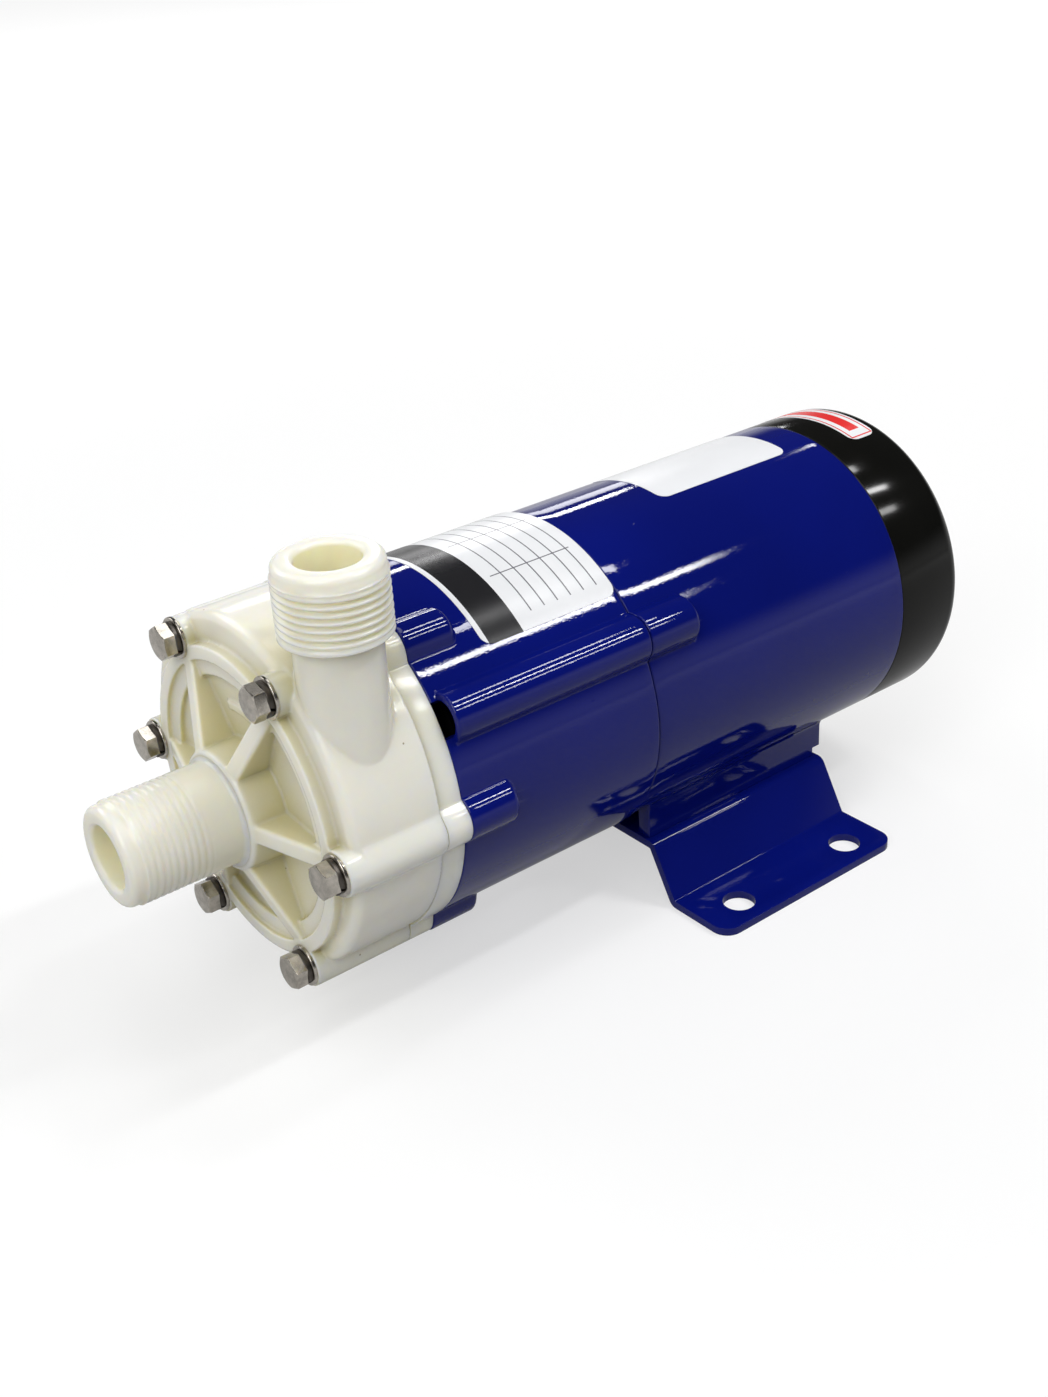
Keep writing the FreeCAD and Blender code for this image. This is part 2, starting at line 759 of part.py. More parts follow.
def drive_yoke():
    """Steel cup on the motor shaft that carries the outer magnets."""
    piece = Piece("drive_yoke")
    start = bracket_face + D.yoke_front_gap
    outer = drive_magnet_outer + D.yoke_wall
    bore = D.shaft_radius
    piece.revolve([
        (start, drive_magnet_outer), (start, outer), (yoke_plate_end, outer),
        (yoke_plate_end, D.yoke_hub_radius), (yoke_end, D.yoke_hub_radius), (yoke_end, bore),
        (yoke_plate_start, bore), (yoke_plate_start, drive_magnet_outer)])
    middle = (yoke_plate_end + yoke_end) / 2
    piece.upward([Circle(middle, 0, D.set_screw_radius)], D.shaft_radius,
                 D.yoke_hub_radius, cut=True)
    screw = Piece("yoke_set_screw")
    screw.upward([Circle(middle, 0, D.set_screw_radius)], D.shaft_radius,
                 D.yoke_hub_radius - D.thread_play)


def drive_magnets():
    """Ring of magnet segments inside the yoke, with a gap between each two."""
    piece = Piece("drive_magnets")
    start = bracket_face + 2 * D.yoke_front_gap
    end = can_end - D.can_end_wall
    piece.revolve([(start, drive_magnet_inner), (end, drive_magnet_inner),
                   (end, drive_magnet_outer), (start, drive_magnet_outer)])
    half = D.drive_magnet_gap / 2
    slit = piece.along([rectangle(-half, drive_magnet_inner - half, half,
                                  drive_magnet_outer + half)], start, end, cut=True)
    piece.around([slit], D.drive_magnet_count)


def channel_seed():
    """Where the first long screw of the bracket lies, as (y, z)."""
    return (-(D.channel_circle * sine(D.channel_angle)),
            D.channel_circle * cosine(D.channel_angle))


def motor_bracket():
    """Cast drum round the coupling, with short bolt bosses and two long screw channels."""
    piece = Piece("motor_bracket")
    inner = D.bracket_radius - D.bracket_wall
    flange = motor_face - D.bracket_flange
    piece.revolve([
        (bracket_face, inner), (bracket_face, D.bracket_radius),
        (motor_face, D.bracket_radius), (motor_face, D.spigot_radius),
        (flange, D.spigot_radius), (flange, inner)])
    boss = piece.along([Circle(-D.bolt_circle, 0, D.bracket_boss_radius)],
                       bracket_face, bracket_face + D.bracket_boss_length)
    tapped = piece.along([Circle(-D.bolt_circle, 0, D.bolt_radius + D.thread_play)],
                         bracket_face, bracket_face + D.bolt_grip + D.bolt_play, cut=True)
    piece.around([boss, tapped], D.bolt_count)
    across, up = channel_seed()
    start = bracket_face + D.channel_start
    pocket_end = start + D.channel_pocket_length
    channel = piece.along([Circle(across, up, D.channel_radius)], start, motor_face)
    pocket = piece.along([Circle(across, up, D.channel_pocket)], start, pocket_end, cut=True)
    hole = piece.along([Circle(across, up, bolt_hole)], pocket_end, motor_face, cut=True)
    piece.around([channel, pocket, hole], D.channel_count)


def bracket_screws():
    """Two long M5 screws that pull the bracket onto the motor."""
    piece = Piece("bracket_screws")
    across, up = channel_seed()
    seat = bracket_face + D.channel_start + D.channel_pocket_length
    head = piece.along([hexagon(across, up, D.hex_across_flats)],
                       seat - D.bolt_head_height, seat)
    shank = piece.along([Circle(across, up, D.bolt_radius)],
                        seat, motor_face + D.bracket_screw_grip)
    piece.around([head, shank], D.channel_count)


def motor_shell():
    """Cast motor barrel with its front wall, bearing hub, screw bosses and foot rails."""
    piece = Piece("motor_shell")
    inner = D.motor_radius - D.motor_wall
    front_wall = motor_face + D.motor_front_wall
    spigot = motor_face - D.spigot_length
    spigot_radius = D.spigot_radius - D.spigot_play
    piece.revolve([
        (spigot, D.bearing_hub_radius), (spigot, spigot_radius), (motor_face, spigot_radius),
        (motor_face, D.motor_radius), (motor_end, D.motor_radius), (motor_end, inner),
        (front_wall, inner), (front_wall, D.bearing_hub_radius),
        (front_bearing_end, D.bearing_hub_radius), (front_bearing_end, D.bearing_outer),
        (front_bearing_start, D.bearing_outer), (front_bearing_start, D.bearing_outer_land),
        (motor_face, D.bearing_outer_land), (motor_face, D.bearing_hub_radius)])
    across, up = channel_seed()
    boss = piece.along([Circle(across, up, D.channel_radius)],
                       motor_face, motor_face + D.motor_boss_length)
    tapped = piece.along([Circle(across, up, D.bolt_radius + D.thread_play)],
                         motor_face, motor_face + D.bracket_screw_grip + D.bolt_play, cut=True)
    piece.around([boss, tapped], D.channel_count)
    lug_start = shield_front - D.lug_length
    lug = piece.along([Circle(0, D.lug_circle, D.lug_radius)], lug_start, shield_front)
    drill = piece.along([Circle(0, D.lug_circle, D.shield_screw_radius + D.thread_play)],
                        lug_start, shield_front, cut=True)
    piece.around([lug, drill], D.lug_count)
    add_foot_rails(piece)


def add_foot_rails(piece):
    """Two walls under the barrel, flared where they meet it, with screw bosses inside."""
    start = motor_face + D.rail_start
    end = start + D.rail_length
    outer = D.rail_half_width
    inner = outer - D.rail_thickness
    root = D.motor_radius - D.motor_wall / 2
    inner_top = -square_root(root * root - inner * inner)
    outer_top = -square_root(root * root - outer * outer)
    flare = outer + D.rail_flare
    flare_top = -square_root(root * root - flare * flare)
    toe_top = plate_top + D.rail_toe_height
    flare_bottom = outer_top - D.rail_flare
    wall = piece.along([[
        (-outer, toe_top), (-inner, toe_top), (-inner, inner_top),
        (-flare, flare_top), (-outer, flare_bottom)]], start, end)
    toe = piece.along([rectangle(-outer, plate_top, -inner, toe_top)],
                      start, end - D.rail_toe)
    middle = outer - D.rail_boss_radius
    boss_top = -square_root(root * root - (middle - D.rail_boss_radius)
                            * (middle - D.rail_boss_radius))
    bosses = []
    for side in (-1, 1):
        station = D.holes_behind_seat + side * (D.foot_screw_pitch / 2)
        bosses.append(piece.upward([Circle(station, -middle, D.rail_boss_radius)],
                                   plate_top, boss_top))
        bosses.append(piece.upward(
            [Circle(station, -middle, D.foot_screw_radius + D.thread_play)],
            plate_top, plate_top + D.foot_screw_grip + D.bolt_play, cut=True))
    piece.mirror([wall, toe] + bosses)


def bearing(where, start):
    """A deep-groove ball bearing: two rings, and the balls with their cage."""
    end = start + D.bearing_width
    middle = (start + end) / 2
    pitch = (D.bearing_inner_land + D.bearing_outer_land) / 2
    race = D.ball_radius + D.race_play
    rings = (
        ("outer_ring", D.bearing_outer, D.bearing_outer_land),
        ("inner_ring", D.bearing_inner_land, D.shaft_radius),
    )
    for kind, outer, inner in rings:
        ring = tube("%s_bearing_%s" % (where, kind), start, end, outer, inner)
        cut_race(ring, middle, pitch, race)
    balls = Piece("%s_bearing_balls" % where)
    turned = balls.body.newObject("PartDesign::Revolution", "Turned")
    turned.Profile = ball_section(balls, middle, pitch)
    turned.ReferenceAxis = (turned.Profile[0], ["Axis0"])
    turned.Angle = 360
    balls.around([turned], D.ball_count)
    half_width = D.cage_width / 2
    half_thick = D.cage_thickness / 2
    balls.revolve([
        (middle - half_width, pitch - half_thick), (middle + half_width, pitch - half_thick),
        (middle + half_width, pitch + half_thick), (middle - half_width, pitch + half_thick)])


def ball_section(balls, middle, pitch):
    """Half-disc sketch of one ball, with its own axis as a construction line."""
    drawing = balls.sketch("XY_Plane", [])
    left = FreeCAD.Vector((middle - D.ball_radius).value, pitch.value, 0)
    right = FreeCAD.Vector((middle + D.ball_radius).value, pitch.value, 0)
    centre = FreeCAD.Vector(middle.value, pitch.value, 0)
    circle = Part.Circle(centre, FreeCAD.Vector(0, 0, 1), D.ball_radius.value)
    arc, chord = drawing.addGeometry(
        [Part.ArcOfCircle(circle, 0, math.pi), Part.LineSegment(left, right)], False)
    drawing.addConstraint([
        Sketcher.Constraint("Coincident", arc, 2, chord, 1),
        Sketcher.Constraint("Coincident", arc, 1, chord, 2),
        Sketcher.Constraint("PointOnObject", arc, 3, chord),
        Sketcher.Constraint("Horizontal", chord)])
    balls.fix_point(drawing, arc, 3, (middle, pitch))
    rule = drawing.addConstraint(Sketcher.Constraint("Radius", arc, D.ball_radius.value))
    balls.bind(drawing, "Constraints[%d]" % rule, D.ball_radius)
    axis = drawing.addGeometry(Part.LineSegment(left, right), True)
    balls.fix_point(drawing, axis, 1, (middle - D.ball_radius, pitch))
    balls.fix_point(drawing, axis, 2, (middle + D.ball_radius, pitch))
    return drawing


def cut_race(ring, middle, pitch, race):
    """Groove that the balls run in."""
    drawing = ring.sketch("XZ_Plane", [Circle(middle, pitch, race)])
    groove = ring.body.newObject("PartDesign::Groove", "Race")
    groove.Profile = drawing
    groove.ReferenceAxis = (drawing, ["H_Axis"])
    groove.Angle = 360


def wave_spring():
    """Ring that preloads the rear bearing."""
    tube("wave_spring", rear_bearing_end, rear_bearing_end + D.spring_thickness,
         D.bearing_outer - D.race_play, D.spring_inner)


def motor_shaft():
    """Steel shaft, thicker between the bearings."""
    piece = Piece("motor_shaft")
    piece.revolve([
        (yoke_plate_start, 0), (yoke_plate_start, D.shaft_radius),
        (front_bearing_end, D.shaft_radius), (front_bearing_end, D.core_seat_radius),
        (rear_bearing_start, D.core_seat_radius), (rear_bearing_start, D.shaft_radius),
        (shield_back - D.shaft_end_play, D.shaft_radius), (shield_back - D.shaft_end_play, 0)])


def stator_core():
    """Laminated core with open slots, pressed into the barrel."""
    piece = Piece("stator_core")
    outer = D.motor_radius - D.motor_wall
    piece.revolve([(stator_start, D.stator_bore), (stator_end, D.stator_bore),
                   (stator_end, outer), (stator_start, outer)])
    half = D.slot_width / 2
    mouth = D.slot_mouth / 2
    neck = D.stator_bore + D.slot_mouth
    slot = piece.along([[
        (-mouth, D.stator_bore - mouth), (mouth, D.stator_bore - mouth), (mouth, neck),
        (half, neck + half), (half, D.slot_bottom), (-half, D.slot_bottom),
        (-half, neck + half), (-mouth, neck)]], stator_start, stator_end, cut=True)
    piece.around([slot], D.slot_count)


def stator_windings():
    """Copper winding: a bundle in each slot, joined by the end turns."""
    piece = Piece("stator_windings")
    inner = D.coil_inner + D.slot_play
    outer = D.slot_bottom - D.slot_play
    front = stator_start - D.slot_play
    back = stator_end + D.slot_play
    half = D.slot_width / 2 - D.slot_play
    piece.revolve([(front - D.coil_overhang, inner), (front, inner), (front, outer),
                   (front - D.coil_overhang, outer)])
    bundle = piece.along([rectangle(-half, inner + half, half, outer)], front, back)
    piece.around([bundle], D.slot_count)
    piece.revolve([(back, inner), (back + D.coil_overhang, inner),
                   (back + D.coil_overhang, outer), (back, outer)])


def rotor():
    """Rotor core and the cast rings of its cage."""
    outer = D.stator_bore - D.air_gap
    tube("rotor_core", stator_start, stator_end, outer, D.core_seat_radius)
    piece = Piece("rotor_cage")
    for start, end in ((stator_start - D.cage_ring_length, stator_start),
                       (stator_end, stator_end + D.cage_ring_length)):
        piece.revolve([(start, D.cage_ring_inner), (end, D.cage_ring_inner),
                       (end, D.cage_ring_outer), (start, D.cage_ring_outer)])


def rear_shield():
    """Cast end shield with the rear bearing's seat."""
    piece = Piece("rear_shield")
    outer = D.motor_radius - D.motor_wall - D.shield_play
    piece.revolve([
        (rear_bearing_start, D.bearing_outer), (rear_bearing_start, D.bearing_hub_radius),
        (shield_front, D.bearing_hub_radius), (shield_front, outer), (shield_back, outer),
        (shield_back, 0), (shield_back - D.shaft_end_play / 2, 0),
        (shield_back - D.shaft_end_play / 2, D.spring_inner),
        (rear_bearing_end + D.spring_thickness, D.spring_inner),
        (rear_bearing_end + D.spring_thickness, D.bearing_outer)])
    hole = piece.along([Circle(0, D.lug_circle, D.shield_screw_radius + D.bolt_play)],
                       shield_front, shield_back, cut=True)
    piece.around([hole], D.lug_count)
    tapped = piece.along([Circle(0, -D.cover_post_circle, D.cover_screw_radius + D.thread_play)],
                         shield_front, shield_back, cut=True)
    piece.around([tapped], D.cover_post_count)
    screws = Piece("rear_shield_screws")
    head = screws.along([Circle(0, D.lug_circle, D.cover_screw_head)],
                        shield_back, shield_back + D.cover_screw_head_height)
    shank = screws.along([Circle(0, D.lug_circle, D.shield_screw_radius)],
                         shield_back - D.shield_plate - D.lug_length + D.bolt_play, shield_back)
    screws.around([head, shank], D.lug_count)


def rear_cover():
    """Black end cap with three screw posts and a pad for the cable gland."""
    piece = Piece("rear_cover")
    inner = D.motor_radius - D.cover_wall
    inner_end = cover_end - D.cover_wall
    lip_outer = D.motor_radius - D.motor_wall - D.shield_play
    lip_inner = lip_outer - D.cover_wall / 2
    pad_station = motor_end + D.gland_station
    piece.along([Circle(0, 0, D.motor_radius)], motor_end, cover_end)
    piece.round_edges(D.cover_round, lambda edge: at_station(edge, cover_end))
    piece.extrude("XZ_Plane", [Circle(pad_station, 0, D.gland_pad_radius)],
                  -D.gland_pad_reach, D.gland_pad_reach / 2)
    piece.along([Circle(0, 0, inner)], motor_end, inner_end, cut=True)
    piece.revolve([(motor_end - D.cover_lip, lip_inner), (motor_end - D.cover_lip, lip_outer),
                   (motor_end, lip_outer), (motor_end + D.cover_lip, inner + D.shield_play),
                   (motor_end + D.cover_lip, lip_inner)])
    post = piece.along([Circle(0, -D.cover_post_circle, D.cover_post_radius)],
                       shield_back, inner_end)
    drill = piece.along([Circle(0, -D.cover_post_circle, D.cover_screw_radius + D.bolt_play)],
                        shield_back, cover_end, cut=True)
    sink = piece.along([Circle(0, -D.cover_post_circle, D.cover_screw_head + D.bolt_play)],
                       cover_end - D.cover_screw_head_height, cover_end, cut=True)
    piece.around([post, drill, sink], D.cover_post_count)
    piece.extrude("XZ_Plane", [Circle(pad_station, 0, D.gland_thread_radius + D.thread_play)],
                  -(D.gland_pad_reach + D.bolt_play), D.gland_pad_reach / 2, cut=True)
    screws = Piece("rear_cover_screws")
    seat = cover_end - D.cover_screw_head_height
    head = screws.along([Circle(0, -D.cover_post_circle, D.cover_screw_head)], seat, cover_end)
    shank = screws.along([Circle(0, -D.cover_post_circle, D.cover_screw_radius)],
                         shield_back - D.cover_screw_grip, seat)
    screws.around([head, shank], D.cover_post_count)


def electrical_parts():
    """Capacitor with its clip, and the terminal block with its screws."""
    capacitor = Piece("capacitor")
    centre = shield_back + D.capacitor_radius
    half = D.capacitor_length / 2
    capacitor.extrude("XZ_Plane", [Circle(centre, D.capacitor_rise, D.capacitor_radius)],
                      -half, D.capacitor_length)
    clip = Piece("capacitor_clip")
    top = D.capacitor_rise + D.capacitor_radius
    low = D.capacitor_rise - D.capacitor_radius
    far = shield_back + 2 * D.capacitor_radius
    clip.extrude("XZ_Plane", [[
        (shield_back, top + D.clip_foot), (shield_back, top),
        (far, top), (far, low), (far + D.clip_thickness, low),
        (far + D.clip_thickness, top + D.clip_thickness),
        (shield_back + D.clip_thickness, top + D.clip_thickness),
        (shield_back + D.clip_thickness, top + D.clip_foot)]],
        -(D.clip_width / 2), D.clip_width)
    block = Piece("terminal_block")
    block_top = -D.terminal_drop
    block_low = block_top - D.terminal_height
    half = D.terminal_width / 2
    face = shield_back + D.terminal_depth
    block.along([rectangle(-half, block_low, half, block_top)], shield_back, face)
    middle = (block_top + block_low) / 2
    well = block.along([Circle(-D.terminal_screw_pitch, middle,
                               D.terminal_screw_radius + D.bolt_play)],
                       face - D.terminal_depth / 2, face, cut=True)
    block.repeat([well], "Y_Axis", D.terminal_screw_pitch, D.terminal_screw_count)
    screws = Piece("terminal_screws")
    screw = screws.along([Circle(-D.terminal_screw_pitch, middle, D.terminal_screw_radius)],
                         face - D.terminal_depth / 2, face - D.bolt_play)
    screws.repeat([screw], "Y_Axis", D.terminal_screw_pitch, D.terminal_screw_count)


def cable_gland():
    """Gland body through the cover's side, with the locknut inside."""
    piece = Piece("cable_gland")
    station = motor_end + D.gland_station
    face = D.gland_pad_reach
    inside = D.motor_radius - D.cover_wall - D.gland_nut_thickness
    hex_end = face + D.gland_hex_height
    dome_end = hex_end + D.gland_dome_height
    piece.extrude("XZ_Plane", [hexagon(station, size(0), D.gland_across_flats)],
                  -hex_end, D.gland_hex_height)
    piece.extrude("XZ_Plane", [Circle(station, 0, D.gland_dome_radius)],
                  -dome_end, D.gland_dome_height)
    piece.round_edges(
        D.cover_wall, lambda edge: abs(edge.BoundBox.YMin - dome_end.value) < 0.01)
    piece.extrude("XZ_Plane", [Circle(station, 0, D.gland_thread_radius)],
                  -face, face - inside + D.cover_wall)
    piece.extrude("XZ_Plane", [Circle(station, 0, D.gland_bore)],
                  -dome_end, dome_end - inside + D.cover_wall, cut=True)
    nut = Piece("gland_locknut")
    nut.extrude("XZ_Plane", [Circle(station, 0, D.gland_nut_radius),
                             Circle(station, 0, D.gland_thread_radius + D.thread_play)],
                -(inside + D.gland_nut_thickness / 2), D.gland_nut_thickness)


def foot_plate():
    """Pressed plate: a raised crown under the motor and a flange on each side."""
    piece = Piece("foot_plate")
    thick = D.plate_thickness
    run = D.plate_fold - D.plate_crown
    drop = plate_top - flange_top
    slope = square_root(run * run + drop * drop)
    shift = thick * (slope - run) / drop
    start = D.holes_behind_seat - D.foot_hole_pitch / 2 - D.plate_front_margin
    half_outline = [
        (D.plate_crown, plate_top), (D.plate_fold, flange_top),
        (D.plate_half_width, flange_top), (D.plate_half_width, flange_top - thick),
        (D.plate_fold - shift, flange_top - thick),
        (D.plate_crown - shift, plate_top - thick)]
    other_half = [(-across, up) for across, up in reversed(half_outline)]
    piece.along([half_outline + other_half], start, start + D.plate_length)
    piece.round_edges(D.plate_bend, is_bend)
    piece.round_edges(D.plate_corner, is_flange_corner)
    station = D.holes_behind_seat - D.foot_hole_pitch / 2
    spread = D.plate_half_width - D.foot_hole_margin
    hole = piece.upward([Circle(station, -spread, D.foot_hole_radius)],
                        flange_top - thick, flange_top, cut=True)
    piece.repeat([hole], "X_Axis", D.foot_hole_pitch, size(2))
    other = piece.upward([Circle(station, spread, D.foot_hole_radius)],
                         flange_top - thick, flange_top, cut=True)
    piece.repeat([other], "X_Axis", D.foot_hole_pitch, size(2))
    station = D.holes_behind_seat - D.foot_screw_pitch / 2
    middle = D.rail_half_width - D.rail_boss_radius
    for side in (-1, 1):
        hole = piece.upward([Circle(station, side * middle, D.foot_screw_radius + D.bolt_play)],
                            plate_top - thick, plate_top, cut=True)
        piece.repeat([hole], "X_Axis", D.foot_screw_pitch, size(2))


def is_bend(edge):
    """Long edges of the plate where it is folded."""
    box = edge.BoundBox
    inside = abs(box.YMin) < D.plate_half_width.value - 1
    return box.XLength > D.plate_length.value - 1 and box.YLength < 0.01 and inside


def is_flange_corner(edge):
    """Short upright edges at the outer corners of the plate."""
    box = edge.BoundBox
    outside = abs(abs(box.YMin) - D.plate_half_width.value) < 0.01
    return outside and box.XLength < 0.01 and box.ZLength > D.plate_thickness.value / 2


def foot_screws():
    """Four M4 screws from below, through the plate into the rails."""
    piece = Piece("foot_screws")
    station = D.holes_behind_seat - D.foot_screw_pitch / 2
    middle = D.rail_half_width - D.rail_boss_radius
    seat = plate_top - D.plate_thickness
    parts = []
    for side in (-1, 1):
        parts.append(piece.upward([Circle(station, side * middle, D.foot_screw_head)],
                                  seat - D.foot_screw_head_height, seat))
        parts.append(piece.upward([Circle(station, side * middle, D.foot_screw_radius)],
                                  seat, plate_top + D.foot_screw_grip))
    piece.repeat(parts, "X_Axis", D.foot_screw_pitch, size(2))


front_casing()
rear_casing()
casing_o_ring()
mouth_ring()
spindle_support()
spindle()
thrust_washers()
casing_fasteners()
impeller()
impeller_inserts()
drive_yoke()
drive_magnets()
motor_bracket()
bracket_screws()
motor_shell()
bearing("front", front_bearing_start)
bearing("rear", rear_bearing_start)
wave_spring()
motor_shaft()
stator_core()
stator_windings()
rotor()
rear_shield()
rear_cover()
electrical_parts()
cable_gland()
foot_plate()
foot_screws()
doc.recompute()

for thing in doc.Objects:
    if "Invalid" in thing.State or "Error" in thing.State:
        raise RuntimeError("%s in %s could not be built" % (thing.Label, thing.Name))

os.makedirs("parts", exist_ok=True)
for piece in pieces:
    shape = piece.Shape
    if shape.isNull() or not shape.isValid():
        raise RuntimeError("%s has no valid shape" % piece.Label)
    shape.exportStep("parts/%s.step" % piece.Label)
    print("%-24s %2d solids %10.1f mm3" % (piece.Label, len(shape.Solids), shape.Volume))
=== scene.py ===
import json
import math

import bpy
from mathutils import Matrix, Vector


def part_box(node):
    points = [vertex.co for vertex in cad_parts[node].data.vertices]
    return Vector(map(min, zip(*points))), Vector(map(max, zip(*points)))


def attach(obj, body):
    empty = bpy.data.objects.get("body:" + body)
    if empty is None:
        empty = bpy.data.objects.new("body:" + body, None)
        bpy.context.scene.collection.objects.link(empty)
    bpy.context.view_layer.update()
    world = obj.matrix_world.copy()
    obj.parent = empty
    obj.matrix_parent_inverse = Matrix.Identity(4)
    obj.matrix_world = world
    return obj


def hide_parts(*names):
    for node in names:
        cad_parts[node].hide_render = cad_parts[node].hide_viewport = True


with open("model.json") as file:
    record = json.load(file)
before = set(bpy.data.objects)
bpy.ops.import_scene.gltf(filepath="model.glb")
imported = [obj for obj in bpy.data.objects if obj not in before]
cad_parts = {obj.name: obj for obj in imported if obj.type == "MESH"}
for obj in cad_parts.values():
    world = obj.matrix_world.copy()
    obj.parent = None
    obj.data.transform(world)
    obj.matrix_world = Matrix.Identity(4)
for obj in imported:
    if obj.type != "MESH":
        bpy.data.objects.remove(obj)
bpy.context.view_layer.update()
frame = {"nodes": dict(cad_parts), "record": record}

bl_info = {
    "name": "Magnetic drive pump",
    "version": (1, 0, 0),
    "blender": (4, 5, 0),
    "location": "3D View > Sidebar > Pump",
    "description": "Moulded, cast, painted and turned pieces of a magnetic drive pump",
    "category": "Object",
}

MM = 0.001
X, Y, Z = 0, 1, 2
FULL_TURN = 2 * math.pi

CLOSE = 0.01 * MM  # Nearer than this is the same place
OVERLAP = 1 * MM  # How far a tool reaches past the face that it cuts or joins


def low(node, axis):
    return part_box(node)[0][axis]


def high(node, axis):
    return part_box(node)[1][axis]


# Places that the construction gives. Stations are along X, the shaft's direction.
SHAFT_Z = (low("rotor_core", Z) + high("rotor_core", Z)) / 2
SEAT = high("casing_flat_washers", X)
PARTING = low("rear_casing", X)
BRACKET = low("motor_bracket", X)
MOTOR = high("motor_bracket", X)
MOTOR_END = high("motor_shell", X)
COVER_END = high("rear_cover", X)
INLET_END = low("front_casing", X)
OUTLET_TOP = high("front_casing", Z)
PLATE_TOP = high("foot_plate", Z)
CHAMBER = high("mouth_ring", X)
MOUNTS = {mount["name"]: mount for mount in frame["record"]["mounts"]}
OUTLET = Vector(MOUNTS["outlet_bore"]["pos_m"])
GLAND = Vector(MOUNTS["cable_entry"]["pos_m"])
INLET_RADIUS = MOUNTS["inlet_bore"]["dims"]["r_mm"] * MM
OUTLET_RADIUS = MOUNTS["outlet_bore"]["dims"]["r_mm"] * MM
THREAD_RADIUS = MOUNTS["inlet_thread"]["dims"]["r_mm"] * MM
FOOT_HOLE_RADIUS = MOUNTS["foot_bolts"]["dims"]["hole_r_mm"] * MM
FOOT_HOLE_PITCH = MOUNTS["foot_bolts"]["dims"]["spacing_x_mm"] * MM
FOOT_HOLE_SPREAD = MOUNTS["foot_bolts"]["dims"]["spacing_y_mm"] * MM

# Angles round the shaft are measured from the top towards the near side, -Y
BOLT_ANGLES = [math.radians(30 + 60 * turn) for turn in range(6)]

# A lathe's own axis is X, with angle 0 at +Z. These put it on the object's axes.
UPRIGHT = Matrix.Rotation(-math.pi / 2, 4, "Y")
ON_SHAFT = Matrix.Translation((0, 0, SHAFT_Z))
ON_OUTLET = Matrix.Translation((OUTLET.x, OUTLET.y, 0)) @ UPRIGHT
ON_GLAND = Matrix.Translation((GLAND.x, 0, GLAND.z)) @ Matrix.Rotation(math.pi / 2, 4, "Z")

# The four quarters of the foot, as directions along X and Y
QUARTERS = [(along, side) for along in (-1, 1) for side in (-1, 1)]


def length(name, description, millimetres):
    return bpy.props.FloatProperty(
        name=name, description=description, default=millimetres * MM, unit="LENGTH", precision=5)


def angle(name, description, degrees):
    return bpy.props.FloatProperty(
        name=name, description=description, default=math.radians(degrees), subtype="ANGLE")


def amount(name, description, default):
    return bpy.props.FloatProperty(name=name, description=description, default=default)


def colour(name, description, *levels):
    return bpy.props.FloatVectorProperty(
        name=name, description=description, default=levels, size=3, subtype="COLOR", max=1, min=0)


